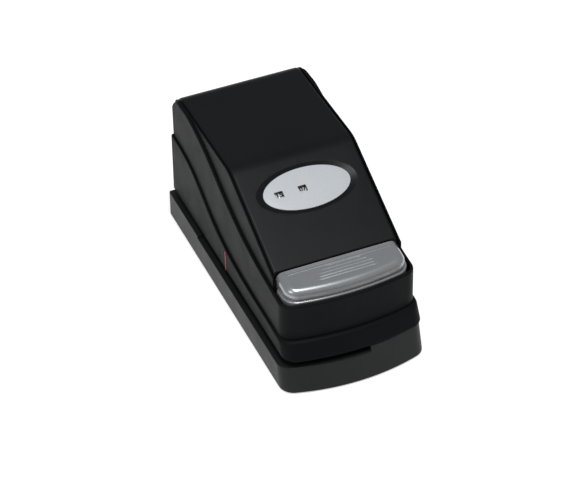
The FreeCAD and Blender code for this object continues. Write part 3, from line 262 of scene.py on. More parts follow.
def combine(obj, tool, operation, angle=30.0):
    """Applies a boolean and removes the tool."""
    modifier = obj.modifiers.new(operation, "BOOLEAN")
    modifier.object = tool
    modifier.operation = operation
    modifier.solver = "EXACT"
    apply_modifiers(obj)
    bpy.data.objects.remove(tool)
    shade(obj.data, angle)
    return obj


def apply_modifiers(obj):
    """Replaces an object's mesh by what its modifiers make of it."""
    graph = bpy.context.evaluated_depsgraph_get()
    mesh = bpy.data.meshes.new_from_object(obj.evaluated_get(graph))
    obj.modifiers.clear()
    obj.data = mesh


def even_shading(obj):
    """Keeps the large flat faces flat beside small rounded ones."""
    modifier = obj.modifiers.new("weighted", "WEIGHTED_NORMAL")
    modifier.keep_sharp = True
    apply_modifiers(obj)


def joined(name, parts, material, angle=30.0):
    """One object from several, each a closed solid of its own."""
    work = bmesh.new()
    for part in parts:
        work.from_mesh(part.data)
        bpy.data.objects.remove(part)
    mesh = bpy.data.meshes.new(name)
    work.to_mesh(mesh)
    work.free()
    mesh.materials.clear()
    return finish_mesh(name, mesh, material, angle)


# Shell outlines.

BOW_STEPS = 20
CORNER_STEPS = 10
SIDE_STEPS = 72
REAR_CORNER_STEPS = 6
REAR_STEPS = 12


def arc_points(x, y, radius, start, end, steps):
    """Points of an arc with their normals, its angles counted from the front."""
    spots = []
    for index in range(steps + 1):
        turn = start + (end - start) * index / steps
        normal = (math.sin(turn), -math.cos(turn))
        spots.append((x + radius * normal[0], y + radius * normal[1], *normal))
    return spots


def outline(half, front, rear, corner, rear_corner, bow):
    """The plan as (x, y, normal x, normal y), anticlockwise from the middle of the bowed front."""
    centre = front + bow
    corner_x = half - corner
    corner_y = centre - math.sqrt((bow - corner) ** 2 - corner_x**2)
    meet = math.asin(corner_x / (bow - corner))
    right = arc_points(0, centre, bow, 0, meet, BOW_STEPS)
    right += arc_points(corner_x, corner_y, corner, meet, math.pi / 2, CORNER_STEPS)[1:]
    side_end = rear - rear_corner
    for index in range(1, SIDE_STEPS):
        share = index / SIDE_STEPS
        right.append((half, corner_y + (side_end - corner_y) * (1.3 * share - 0.3 * share**4), 1.0, 0.0))
    right += arc_points(half - rear_corner, side_end, rear_corner, math.pi / 2, math.pi, REAR_CORNER_STEPS)
    rear_half = half - rear_corner
    right += [(rear_half * (1 - index / REAR_STEPS), rear, 0.0, 1.0) for index in range(1, REAR_STEPS + 1)]
    left = [(-x, y, -nx, ny) for x, y, nx, ny in right[1:-1]]
    return right + left[::-1]


class Shell:
    """A shell's outside between a foot and a top: a plan that leans and draws in as it rises."""

    def __init__(
        self, half, front, rear, foot, top, corner, rear_corner, bow, lean=0.0, draft=0.0, across=0.0
    ):
        self.sizes = (half, front, rear, foot, top, corner, rear_corner, bow, lean, draft, across)
        rise = top - foot
        self.foot = foot
        self.top = top
        self.across = across
        self.low = outline(half, front, rear, corner, rear_corner, bow)
        self.high = outline(half - draft * rise, front + lean * rise, rear, corner, rear_corner, bow)

    def inner(self, wall):
        """The shell of the inside, a wall's thickness in."""
        half, front, rear, foot, top, corner, rear_corner, bow, lean, draft, across = self.sizes
        return Shell(
            half - wall, front + wall, rear - wall, foot, top, corner - wall, max(rear_corner - wall, 0.4),
            bow - wall, lean, draft, across,
        )

    def ring(self, inset, height):
        """One closed ring of the shell, moved in by an inset. Both may depend on the depth."""
        points = []
        for (x0, y0, nx, ny), (x1, y1, _, _) in zip(self.low, self.high):
            y = y0
            for _ in range(4):
                z = height(y) if callable(height) else height
                share = (z - self.foot) / (self.top - self.foot)
                move = inset(y) if callable(inset) else inset
                y = y0 + (y1 - y0) * share - ny * move
            x = self.across + x0 + (x1 - x0) * share - nx * move
            points.append((x, y, z))
        return points

    def rounded_edge(self, radius, height, steps=5):
        """Rings that round the edge between the wall and a ledge above it."""
        rings = []
        for step in range(steps + 1):
            turn = math.pi / 2 * step / steps

            def inset(y, turn=turn):
                size = radius(y) if callable(radius) else radius
                return size * (1 - math.cos(turn))

            def level(y, turn=turn):
                size = radius(y) if callable(radius) else radius
                top = height(y) if callable(height) else height
                return top - size * (1 - math.sin(turn))

            rings.append(self.ring(inset, level))
        return rings


# Procedural materials.

GRAIN_SIZE = 0.5
MIX_COLOURS = (6, 7)
MIX_RESULT = 2
# Range of the object-space normal's Y over which front-facing silver fades to the darker streaked colour, a
# painted shade.
FRONT_SHADE_NORMAL = (-0.78, -0.97)


def new_material(name):
    """An empty node material: its tree, its shader and its object coordinates."""
    material = bpy.data.materials.new(name)
    material.use_nodes = True
    tree = material.node_tree
    tree.nodes.clear()
    output = tree.nodes.new("ShaderNodeOutputMaterial")
    shader = tree.nodes.new("ShaderNodeBsdfPrincipled")
    tree.links.new(shader.outputs["BSDF"], output.inputs["Surface"])
    place = tree.nodes.new("ShaderNodeTexCoord")
    return material, tree, shader, place.outputs["Object"]


def noise(tree, place, scale, detail=2.0, stretch=None):
    """A noise pattern in the object's own coordinates, stretched along an axis if asked."""
    if stretch is not None:
        mapping = tree.nodes.new("ShaderNodeMapping")
        mapping.inputs["Scale"].default_value = stretch
        tree.links.new(place, mapping.inputs["Vector"])
        place = mapping.outputs["Vector"]
    texture = tree.nodes.new("ShaderNodeTexNoise")
    texture.inputs["Scale"].default_value = scale
    texture.inputs["Detail"].default_value = detail
    tree.links.new(place, texture.inputs["Vector"])
    return texture.outputs["Fac"]


def ramp(tree, value, low, high):
    """A colour ramp between two colours."""
    node = tree.nodes.new("ShaderNodeValToRGB")
    for element, stop, colour in zip(node.color_ramp.elements, (0.35, 0.65), (low, high)):
        element.position = stop
        element.color = (*colour, 1)
    tree.links.new(value, node.inputs["Fac"])
    return node.outputs["Color"]


def spread(tree, value, low, high):
    """Maps a 0 to 1 pattern onto a range."""
    node = tree.nodes.new("ShaderNodeMapRange")
    node.inputs["From Min"].default_value = 0.3
    node.inputs["From Max"].default_value = 0.7
    node.inputs["To Min"].default_value = low
    node.inputs["To Max"].default_value = high
    tree.links.new(value, node.inputs["Value"])
    return node.outputs["Result"]


def add_bump(tree, shader, value, strength, distance):
    """Fine relief on the surface."""
    node = tree.nodes.new("ShaderNodeBump")
    node.inputs["Strength"].default_value = strength
    node.inputs["Distance"].default_value = distance
    tree.links.new(value, node.inputs["Height"])
    tree.links.new(node.outputs["Normal"], shader.inputs["Normal"])


def moulded(name, colour, rough, specular=0.35, grain=0.12, varied=0.12, ior=1.5):
    """Moulded plastic: spark-eroded grain, slight clouding and uneven gloss."""
    material, tree, shader, place = new_material(name)
    clouds = noise(tree, place, 18.0, 3.0)
    low = tuple(value * (1 - varied) for value in colour)
    high = tuple(value * (1 + varied) for value in colour)
    tree.links.new(ramp(tree, clouds, low, high), shader.inputs["Base Color"])
    patches = noise(tree, place, 60.0, 4.0)
    tree.links.new(spread(tree, patches, rough - 0.03, rough + 0.04), shader.inputs["Roughness"])
    shader.inputs["Specular IOR Level"].default_value = specular
    shader.inputs["IOR"].default_value = ior
    fine = noise(tree, place, 1 / (GRAIN_SIZE * MM), 2.0)
    add_bump(tree, shader, fine, grain, 0.05 * MM)
    return material


def metal(name, colour, rough, brushed=(1, 1, 1), tarnish=0.12, grain=0.08):
    """Metal with brushing along one axis and a slightly uneven finish."""
    material, tree, shader, place = new_material(name)
    clouds = noise(tree, place, 35.0, 4.0)
    low = tuple(value * (1 - tarnish) for value in colour)
    tree.links.new(ramp(tree, clouds, low, colour), shader.inputs["Base Color"])
    shader.inputs["Metallic"].default_value = 1.0
    lines = noise(tree, place, 1500.0, 3.0, brushed)
    tree.links.new(spread(tree, lines, rough - 0.06, rough + 0.08), shader.inputs["Roughness"])
    add_bump(tree, shader, lines, grain, 0.02 * MM)
    return material


def silver_paint(name, colour, rough, metallic, coat):
    """Silver-painted plastic: flake sparkle under a satin coat. Faces turned to the front fade to fine streaks,
    which are a real finish, at a darker tone, which is painted shade.
    """
    material, tree, shader, place = new_material(name)
    flakes = noise(tree, place, 2600.0, 1.0)
    brushed = noise(tree, place, 900.0, 2.0, (0.03, 1.0, 1.0))
    # Fine streaks at 30 to 50 percent of the paint's colour: real streaks, with a painted shade in their dark
    # tone.
    streaks_and_painted_shade = ramp(tree, brushed, *(tuple(value * share for value in colour) for share in (0.3, 0.5)))
    flaked = ramp(tree, flakes, *(tuple(value * share for value in colour) for share in (0.93, 1.07)))
    # Painted shade: faces whose normal points to the front take the darker streaked colour.
    normal = tree.nodes.new("ShaderNodeSeparateXYZ")
    tree.links.new(tree.nodes.new("ShaderNodeTexCoord").outputs["Normal"], normal.inputs["Vector"])
    front = tree.nodes.new("ShaderNodeMapRange")
    for socket, value in zip(("From Min", "From Max", "To Min", "To Max"), (*FRONT_SHADE_NORMAL, 0.0, 1.0)):
        front.inputs[socket].default_value = value
    tree.links.new(normal.outputs["Y"], front.inputs["Value"])
    paint = tree.nodes.new("ShaderNodeMix")
    paint.data_type = "RGBA"
    tree.links.new(front.outputs["Result"], paint.inputs["Factor"])
    for source, socket in zip((flaked, streaks_and_painted_shade), MIX_COLOURS):
        tree.links.new(source, paint.inputs[socket])
    tree.links.new(paint.outputs[MIX_RESULT], shader.inputs["Base Color"])
    patches = noise(tree, place, 45.0, 3.0)
    tree.links.new(spread(tree, patches, rough - 0.03, rough + 0.03), shader.inputs["Roughness"])
    shader.inputs["Metallic"].default_value = metallic
    shader.inputs["Coat Weight"].default_value = coat
    shader.inputs["Coat Roughness"].default_value = 0.25
    add_bump(tree, shader, flakes, 0.05, 0.02 * MM)
    return material


def clear_pane(name):
    """A clear plastic pane with faint moulding waves."""
    material, tree, shader, place = new_material(name)
    waves = noise(tree, place, 120.0, 2.0)
    tree.links.new(ramp(tree, waves, (0.10, 0.11, 0.11), (0.13, 0.14, 0.14)), shader.inputs["Base Color"])
    tree.links.new(spread(tree, waves, 0.02, 0.05), shader.inputs["Roughness"])
    shader.inputs["Alpha"].default_value = 0.06
    shader.inputs["IOR"].default_value = 1.45
    return material


def woven(name, colour):
    """Inked ribbon cloth: a fine square weave."""
    material, tree, shader, place = new_material(name)
    weave = tree.nodes.new("ShaderNodeTexWave")
    weave.inputs["Scale"].default_value = 900.0
    weave.inputs["Distortion"].default_value = 1.5
    tree.links.new(place, weave.inputs["Vector"])
    low = tuple(value * 0.5 for value in colour)
    tree.links.new(ramp(tree, weave.outputs["Fac"], low, colour), shader.inputs["Base Color"])
    shader.inputs["Roughness"].default_value = 0.75
    shader.inputs["Sheen Weight"].default_value = 0.3
    add_bump(tree, shader, weave.outputs["Fac"], 0.2, 0.05 * MM)
    return material


def printed(name, colour, rough=0.45):
    """A printed or painted mark with slightly uneven ink."""
    material, tree, shader, place = new_material(name)
    ink = noise(tree, place, 900.0, 3.0)
    low = tuple(value * 0.8 for value in colour)
    tree.links.new(ramp(tree, ink, low, colour), shader.inputs["Base Color"])
    tree.links.new(spread(tree, ink, rough - 0.05, rough + 0.1), shader.inputs["Roughness"])
    return material


CASE_BLACK = moulded("case_black_plastic", (0.0064, 0.0069, 0.0075), 0.45, 0.7, ior=1.10)
BASE_BLACK = moulded("base_black_plastic", (0.0105, 0.011, 0.0118), 0.46, 0.35, ior=1.35)
COVER_BLACK = moulded("cover_black_plastic", (0.0044, 0.0050, 0.0058), 0.38, 0.36, ior=1.32)
# Both silvers below carry the painted shade on faces turned to the front.
BAR_SILVER = silver_paint("bar_silver_paint", (0.32, 0.335, 0.35), 0.27, 0.6, 0.6)
LABEL_SILVER = silver_paint("label_silver_foil", (0.50, 0.53, 0.56), 0.55, 0.05, 0.1)
WHEEL_WHITE = moulded("wheel_white_plastic", (0.88, 0.89, 0.87), 0.45, 0.4, 0.05, 0.03)
DIGIT_INK = printed("digit_ink", (0.006, 0.006, 0.007))
MARK_RED = printed("mark_red_paint", (0.62, 0.012, 0.01), 0.35)
STEEL_SHEET = metal("zinc_plated_sheet", (0.55, 0.56, 0.57), 0.38, (1, 0.08, 1))
STEEL_ROUND = metal("ground_steel", (0.6, 0.6, 0.61), 0.25, (0.06, 1, 1))
SCREW_STEEL = metal("screw_steel", (0.42, 0.42, 0.43), 0.35)
LEVER_ZINC = metal("pressed_zinc_steel", (0.52, 0.51, 0.47), 0.4, (1, 0.1, 1))
BRASS = metal("turned_brass", (0.72, 0.52, 0.2), 0.28, (0.08, 1, 1))
CHROME = metal("polished_chrome", (0.42, 0.42, 0.44), 0.22, (1, 1, 1), 0.04, 0.02)
MOTOR_STEEL = metal("motor_can_steel", (0.5, 0.5, 0.5), 0.42)
RUBBER = moulded("black_rubber", (0.02, 0.02, 0.02), 0.75, 0.3, 0.3)
NYLON = moulded("natural_nylon", (0.66, 0.65, 0.58), 0.5, 0.4, 0.08, 0.06)
SPOOL_BLACK = moulded("spool_plastic", (0.03, 0.03, 0.032), 0.5)
INLET_BLACK = moulded("inlet_plastic", (0.012, 0.012, 0.012), 0.25, 0.5, 0.03)
RIBBON_CLOTH = woven("inked_cloth", (0.03, 0.012, 0.09))
PANE_CLEAR = clear_pane("clear_pane")

CAD_MATERIALS = {
    "case_black": CASE_BLACK,
    "cover_black": COVER_BLACK,
    "label_silver": LABEL_SILVER,
    "lens_clear": PANE_CLEAR,
    "bar_silver": BAR_SILVER,
    "inlet_black": INLET_BLACK,
    "sheet_steel": STEEL_SHEET,
    "screw_steel": SCREW_STEEL,
    "foot_rubber": RUBBER,
    "lever_zinc": LEVER_ZINC,
    "pad_rubber": RUBBER,
    "shaft_steel": STEEL_ROUND,
    "bush_brass": BRASS,
    "spring_steel": STEEL_ROUND,
    "wheel_white": WHEEL_WHITE,
    "gear_nylon": NYLON,
    "pinion_brass": BRASS,
    "motor_steel": MOTOR_STEEL,
    "spool_plastic": SPOOL_BLACK,
    "ribbon_cloth": RIBBON_CLOTH,
    "lock_chrome": CHROME,
    "lock_brass": BRASS,
    "mark_red": MARK_RED,
}


def dress_cad_nodes():
    """Gives each CAD node the material of its slot in the record."""
    for entry in frame["record"]["subparts"]:
        node = frame["nodes"][entry["node"]]
        node.data.materials.clear()
        node.data.materials.append(CAD_MATERIALS[entry["material_slot"]])
        shade(node.data, 28.0)


def settle(piece, body, node):
    """Puts a piece on its body, in place of a CAD node."""
    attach(piece, body)
    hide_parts(node)


# The shells.


def cut_print_slot(body):
    """Cuts the slot through which the hammer reaches the card."""
    near, far = PRINT_SLOT
    combine(body, boxed("slot", (*near, BELOW), (*far, ABOVE)), "DIFFERENCE")


def cut_rod_hole(body):
    """Cuts the hole for the push rod and its bush."""
    low, high = box_mm("rod_bush")
    middle = (low + high) / 2
    combine(body, round_cutter("rod_hole", ROD_HOLE, BELOW, ABOVE, middle.x, middle.y), "DIFFERENCE")


def cut_inlet(body):
    """Cuts the opening for the power inlet through the rear wall."""
    low, high = box_mm("power_inlet")
    combine(body, boxed("inlet", tuple(low), (high.x, high.y + 3, high.z)), "DIFFERENCE")


def cut_step(body, level, near, far):
    """Cuts a body down to a level between two plan corners, and rounds the outer edge that this leaves."""
    combine(body, boxed("step", (*near, level), (*far, ABOVE)), "DIFFERENCE")
    work = bmesh.new()
    work.from_mesh(body.data)
    rim = [
        edge for edge in work.edges
        if edge.is_convex and all(abs(corner.co.z - level * MM) < 1e-6 for corner in edge.verts)
        and any(abs(face.normal.z) < 0.4 for face in edge.link_faces)
    ]
    bmesh.ops.bevel(
        work, geom=rim, offset=BASE_EDGE * MM, segments=3, profile=0.5, affect="EDGES", clamp_overlap=True
    )
    work.to_mesh(body.data)
    work.free()
    shade(body.data)


def make_base():
    """The low box with rounded edges: card deck, raised right side and rear, and the hammer's slot."""
    half = (BASE_HIGH.x - BASE_LOW.x) / 2
    foot = BASE_LOW.z
    shell = Shell(
        half, BASE_LOW.y, BASE_HIGH.y, foot, CASE_FLOOR, CORNER, REAR_CORNER, BASE_BOW, BASE_LEAN,
        CASE_DRAFT, (BASE_HIGH.x + BASE_LOW.x) / 2,
    )
    rings = [shell.ring(0.5, foot), shell.ring(0.0, foot + 0.5), shell.ring(0.0, DECK - 1.0)]
    rings += [shell.ring(0.0, CASE_FLOOR - 1.0)]
    rings += shell.rounded_edge(BASE_EDGE, CASE_FLOOR)
    base = lofted("base_moulding", rings, BASE_BLACK)
    inside = shell.inner(WALL)
    hollow = lofted("hollow", [inside.ring(0.0, foot + BELOW), inside.ring(0.0, DECK - 2.0)], None)
    combine(base, hollow, "DIFFERENCE")
    strip_right = BASE_LOW.x + STRIP_WIDTH
    cut_step(base, DECK, (-90, -BEHIND), (THROAT_RIGHT, THROAT_REAR))
    cut_step(base, DECK + STRIP_RISE, (-91, THROAT_REAR - 1), (strip_right, BEHIND + 1))
    cut_print_slot(base)
    cut_rod_hole(base)
    even_shading(base)
    settle(base, "case", "base")


def make_band():
    """The lower case: a band with a leaning front and an S-shaped ledge, closed by the throat's ceiling."""
    shell = Shell(
        BAND_HIGH.x, BAND_LOW.y, BAND_HIGH.y, CASE_FLOOR, BAND_TOP, CORNER, REAR_CORNER, CASE_BOW,
        CASE_LEAN, CASE_DRAFT,
    )
    seat = mid_shell()
    foot_groove = ((1.3, 0.0), (0.9, 0.5), (0.25, 0.8), (0.0, 1.2))
    rings = [shell.ring(inset, CASE_FLOOR + rise) for inset, rise in foot_groove]
    rings += [shell.ring(0.0, lambda y: lower_ledge(y) - 3.0)]
    rings += shell.rounded_edge(lambda y: 1.0 + 1.4 * smooth(-60, -95, y), lower_ledge, steps=7)
    rings += [seat.ring(-SEAT_GAP, lower_ledge)]
    rings += [seat.ring(-SEAT_GAP, lambda y: lower_ledge(y) - SEAT_FOOT)]
    inside = seat.inner(SEAT_WALL)
    rings += [inside.ring(0.0, lambda y: lower_ledge(y) - SEAT_FOOT), inside.ring(0.0, FLOOR_TOP)]
    band = lofted("lower_band", rings, CASE_BLACK)
    cut_print_slot(band)
    cut_rod_hole(band)
    cut_inlet(band)
    even_shading(band)
    settle(band, "case", "lower_case")


def mid_shell():
    """The mid case's upright outside."""
    return Shell(MID_HIGH.x, MID_LOW.y, MID_HIGH.y, *MID_LEVELS, CORNER - 1, REAR_CORNER, CASE_BOW)


def rear_height(depth):
    """The height of the side walls' rear top corner, a little rounder than the cover's."""
    centre_y = MID_HIGH.y - WALL_REAR_RADIUS
    over = min(max(depth - centre_y, 0.0), WALL_REAR_RADIUS)
    rounding = math.sqrt(WALL_REAR_RADIUS**2 - over**2)
    return REAR_TOP - 0.2 - WALL_REAR_RADIUS + rounding + (centre_y - depth) * 0.02


def make_mid():
    """The mid case: S-curved walls with a rounded upper ledge and the rim round the bar."""
    shell = mid_shell()

    def height(y):
        return min(upper_ledge(y), rear_height(y))

    def edge(y):
        return 0.9 + 0.85 * smooth(-55, -92, y) + 0.7 * smooth(80, 104, y)

    inside = shell.inner(MID_WALL)
    rings = [shell.ring(0.0, lambda y: lower_ledge(y) - MID_FOOT)]
    rings += [shell.ring(0.0, lambda y: lower_ledge(y) + 1.0)]
    rings += [shell.ring(0.0, lambda y: height(y) - edge(y) - 1.5)]
    rings += shell.rounded_edge(edge, height, steps=7)
    rings += [inside.ring(0.0, lambda y: height(y) - 0.15), inside.ring(0.0, lambda y: height(y) - 8.0)]
    rings += [inside.ring(0.0, lambda y: lower_ledge(y) - MID_FOOT)]
    mid = lofted("mid_walls", rings, CASE_BLACK, closed_loop=True)
    side = COVER_HALF + TAIL_GAP
    tail = boxed("tail", (-side, 85, COVER_TAIL - TAIL_GAP), (side, BEHIND, BEHIND))
    combine(mid, tail, "DIFFERENCE")
    _, lock_y, lock_z = (value / MM for value in joint("lock_turn")["pos_m"])
    turns = [2 * math.pi * index / 48 for index in range(48)]
    barrel = [
        [(x, lock_y + LOCK_RADIUS * math.cos(t), lock_z + LOCK_RADIUS * math.sin(t)) for t in turns]
        for x in (30, 80)
    ]
    combine(mid, lofted("barrel", barrel, None), "DIFFERENCE")
    cut_inlet(mid)
    even_shading(mid)
    settle(mid, "case", "mid_case")


PROFILE_STEP = 4.0


def rounded_profile(points, radii):
    """Points along an open side profile with rounded corners, each with its outward normal."""
    samples = []
    start = Vector(points[0])
    for index, radius in enumerate(radii, start=1):
        corner = Vector(points[index])
        into = (corner - Vector(points[index - 1])).normalized()
        out = (Vector(points[index + 1]) - corner).normalized()
        turn = into.angle(out)
        cut_back = radius * math.tan(turn / 2)
        first = corner - into * cut_back
        samples += straight(start, first)
        side = Vector((-into.y, into.x))
        centre = first + side * radius
        steps = max(6, int(turn / math.radians(5)))
        for number in range(1, steps):
            angle = turn * number / steps
            spoke = -side * math.cos(angle) + into * math.sin(angle)
            samples.append((centre + spoke * radius, spoke))
        start = corner + out * cut_back
    samples += straight(start, Vector(points[-1]))
    samples.append((Vector(points[-1]), samples[-1][1]))
    return samples


def straight(start, end):
    """Points along a straight run, without its end, with their normal."""
    run = end - start
    count = max(2, math.ceil(run.length / PROFILE_STEP))
    normal = Vector((run.y, -run.x)).normalized()
    return [(start + run * number / count, normal) for number in range(count)]


def make_cover():
    """The lift-off cover: one moulded sheet bent over the crease, with rounded sides and oval recess."""
    slope_fall = math.tan(SLOPE)
    front_height = CREASE[1] - (CREASE[0] - COVER_FRONT) * slope_fall
    path = [(COVER_HIGH.y, 90.0), (COVER_HIGH.y, REAR_TOP), CREASE, (COVER_FRONT, front_height)]
    samples = rounded_profile(path, (REAR_RADIUS, CREASE_RADIUS))
    # The path starts low enough for its rear rounding, and the part under the cover's tail is dropped.
    samples = [sample for sample in samples if sample[0].x < REAR_END or sample[0].y > COVER_TAIL - 0.3]
    rings = []
    last = len(samples) - 1
    down_slope = Vector((-math.cos(SLOPE), -math.sin(SLOPE)))
    for index, (spot, normal) in enumerate(samples):
        if index == last:
            for number in range(6):
                turn = math.pi / 2 * number / 5
                back = COVER_LIP * (1 - math.sin(turn))
                sunk = COVER_LIP * (1 - math.cos(turn))
                rings.append(cover_ring(spot - down_slope * back, normal, COVER_RIM - 0.3, sunk, True))
        elif (spot - samples[last][0]).length < WALL:
            rings.append(cover_ring(spot, normal, COVER_RIM - 0.3))
        else:
            rings.append(cover_ring(spot, normal, WALL))
    cover = lofted("cover_moulding", rings, COVER_BLACK, angle=35.0)
    combine(cover, oval_cutter(), "DIFFERENCE", 35.0)
    for name in WINDOW_SPOTS:
        combine(cover, window_cutter(name, 0.0, -6.0), "DIFFERENCE", 35.0)
    even_shading(cover)
    settle(cover, "cover", "top_cover")


def cover_ring(spot, normal, inner_depth, sunk=0.0, upright=False):
    """One cross-section of the cover. An upright one is sheared so that its face stands upright."""
    half = COVER_HALF
    edge = COVER_EDGE
    section = [(-half, COVER_RIM), (-half, edge + 2.0)]
    for number in range(7):
        turn = math.pi / 2 * number / 6
        section.append((-half + edge * (1 - math.cos(turn)), edge * (1 - math.sin(turn)) + sunk))
    for number in range(1, COVER_COLUMNS):
        section.append((-(half - edge) * (1 - 2 * number / COVER_COLUMNS), sunk))
    section += [(-x, depth) for x, depth in section[:9][::-1]]
    inner = half - WALL
    section += [(inner, COVER_RIM), (inner, inner_depth), (-inner, inner_depth), (-inner, COVER_RIM)]
    down_slope = Vector((-math.cos(SLOPE), -math.sin(SLOPE)))
    points = []
    for x, depth in section:
        place = spot - normal * depth
        if upright:
            place += down_slope * (depth * math.tan(SLOPE))
        points.append((x, place.x, place.y))
    return points


def on_slope():
    """The matrix from the oval's own coordinates, in millimetres, to the slope of the cover."""
    depth = CREASE[0] - OVAL_DOWN * math.cos(SLOPE)
    height = CREASE[1] - OVAL_DOWN * math.sin(SLOPE)
    return Matrix.Translation((OVAL_ACROSS, depth, height)) @ Matrix.Rotation(SLOPE, 4, "X")


def oval_ring(width, height, level):
    """A closed oval ring on the slope."""
    place = on_slope()
    turns = [2 * math.pi * index / 96 for index in range(96)]
    return [place @ Vector((width / 2 * math.cos(t), height / 2 * math.sin(t), level)) for t in turns]


def oval_cutter():
    """The recess round the label: a dished bevel, widest at the left and right, with a step at its foot."""
    floor = (OVAL[0] + 0.8, OVAL[1] + 0.8)
    rings = [oval_ring(*floor, -BEZEL_DEPTH)]
    for share, level in BEZEL_RISE:
        rings.append(oval_ring(*(foot + (top - foot) * share for foot, top in zip(floor, BEZEL)), level))
    rings.append(oval_ring(*BEZEL, 3.0))
    return lofted("oval_cutter", rings, None)


def window_outline(name, level, grow=0.0):
    """A window's rounded rectangle on the slope."""
    place = on_slope()
    radius = WINDOW_CORNER + grow
    half_x = WINDOW[0] / 2 + grow - radius
    half_y = WINDOW[1] / 2 + grow - radius
    middle = WINDOW_SPOTS[name] - OVAL_ACROSS
    points = []
    for number in range(4):
        sign_x = 1 if number in (0, 3) else -1
        sign_y = 1 if number < 2 else -1
        for step in range(5):
            turn = math.pi / 2 * (number + step / 4)
            x = middle + sign_x * half_x + radius * math.cos(turn)
            y = sign_y * half_y + radius * math.sin(turn)
            points.append(place @ Vector((x, y, level)))
    return points


def window_cutter(name, top, bottom):
    """A window's opening between two levels."""
    return lofted("window_cutter", [window_outline(name, bottom), window_outline(name, top)], None)


def make_label():
    """The oval label plate: a thin foil-faced plate with a rounded edge and two windows."""
    low = -BEZEL_DEPTH
    rings = [oval_ring(OVAL[0] - 0.2, OVAL[1] - 0.2, low), oval_ring(*OVAL, low + 0.1)]
    for step in range(5):
        turn = math.pi / 2 * step / 4
        shrink = 0.6 * (1 - math.cos(turn))
        rings.append(oval_ring(OVAL[0] - shrink, OVAL[1] - shrink, LABEL_TOP - 0.3 * (1 - math.sin(turn))))
    label = lofted("label_foil", rings, LABEL_SILVER)
    for name in WINDOW_SPOTS:
        combine(label, window_cutter(name, 2.0, -6.0), "DIFFERENCE")
    settle(label, "cover", "label_plate")


def make_panes():
    """The clear panes, each with a slightly crowned face."""
    low = -BEZEL_DEPTH - PANE_DEPTH
    panes = []
    for name in WINDOW_SPOTS:
        rings = [window_outline(name, low, -0.02), window_outline(name, low + 0.7, -0.02)]
        rings.append(window_outline(name, low + 0.8, -0.25))
        panes.append(lofted("pane", rings, PANE_CLEAR))
    lens = joined("window_panes", panes, PANE_CLEAR)
    settle(lens, "cover", "window_lenses")


# The silver bar.

BAR_CORNER = 10.5
BAR_EDGE = 5.4
BAR_BACK = BAR_HIGH.y
BAR_HALF = 47.0
BAR_FRONT = -97.2
BAR_TOP_BACK = BAR_HIGH.z
BAR_FALL = 3.0 / (BAR_BACK - BAR_FRONT)
FLANGE = 1.4
FLANGE_TOP = 70.4
GROOVES = [(-76.5, -11, 16), (-79.4, -15, 19.5), (-82.2, -18, 23), (-85.0, -20, 24), (-87.6, -21, 24)]
BACK_LINES = [-73.0, -75.4]
GROOVE_HALF = 0.55
GROOVE_DEPTH = 0.38
GROOVE_FADE = 2.5
LINE_HALF = 0.45
LINE_DEPTH = 0.22
BAR_COLUMNS = 72
BAR_WALL = 3.0


def bar_top(x, y):
    """The height of the bar's top: a gentle fall to the front, two back lines and the grip grooves."""
    height = BAR_TOP_BACK - (BAR_BACK - y) * BAR_FALL
    height -= 0.35 * smooth(BACK_LINES[1], BAR_BACK, y)
    for line in BACK_LINES:
        height -= LINE_DEPTH * max(0.0, 1 - abs(y - line) / LINE_HALF)
    for depth, left, right in GROOVES:
        after_left = smooth(left - GROOVE_FADE, left + GROOVE_FADE, x)
        before_right = 1 - smooth(right - GROOVE_FADE, right + GROOVE_FADE, x)
        near = max(0.0, 1 - ((y - depth) / GROOVE_HALF) ** 2)
        height -= GROOVE_DEPTH * after_left * before_right * near
    return height


def bar_side_rows():
    """Depths of the points along the bar's sides, close together at the lines and grooves."""
    rows = {BAR_BACK - 1.0}
    for line in BACK_LINES:
        rows.update(line + offset for offset in (-LINE_HALF, 0.0, LINE_HALF))
    for depth, _, _ in GROOVES:
        rows.update(depth + GROOVE_HALF * share for share in (-1.15, -1, -0.6, 0, 0.6, 1, 1.15))
    return rows


def bar_plan():
    """Half of the bar's plan, from the right end of its back to the middle of its front."""
    centre = BAR_FRONT + CASE_BOW
    corner_x = BAR_HALF - BAR_CORNER
    corner_y = centre - math.sqrt((CASE_BOW - BAR_CORNER) ** 2 - corner_x**2)
    meet = math.asin(corner_x / (CASE_BOW - BAR_CORNER))
    rows = sorted((row for row in bar_side_rows() if row > corner_y + 0.3), reverse=True)
    half = [(BAR_HALF, BAR_BACK, 1.0, 0.0)]
    half += [(BAR_HALF, row, 1.0, 0.0) for row in rows]
    half += arc_points(corner_x, corner_y, BAR_CORNER, math.pi / 2, meet, 12)
    half += arc_points(0, centre, CASE_BOW, meet, 0, 22)[1:]
    return half


def bar_ring(plan, inset, drop=None, level=None):
    """One ring round the bar: right side, front, left side and the straight back."""
    half = []
    for x, y, nx, ny in plan:
        shrink = inset(y) if callable(inset) else inset
        px, py = x - nx * shrink, min(y - ny * shrink, BAR_BACK)
        pz = level if level is not None else BAR_TOP_BACK - (BAR_BACK - py) * BAR_FALL - drop
        half.append((px, py, pz))
    left = [(-x, y, z) for x, y, z in half[:-1]]
    ring = half + left[::-1]
    back_x, _, back_z = half[0]
    shares = [number / BAR_COLUMNS for number in range(1, BAR_COLUMNS)]
    return ring + [(-back_x + 2 * back_x * share, BAR_BACK, back_z) for share in shares]


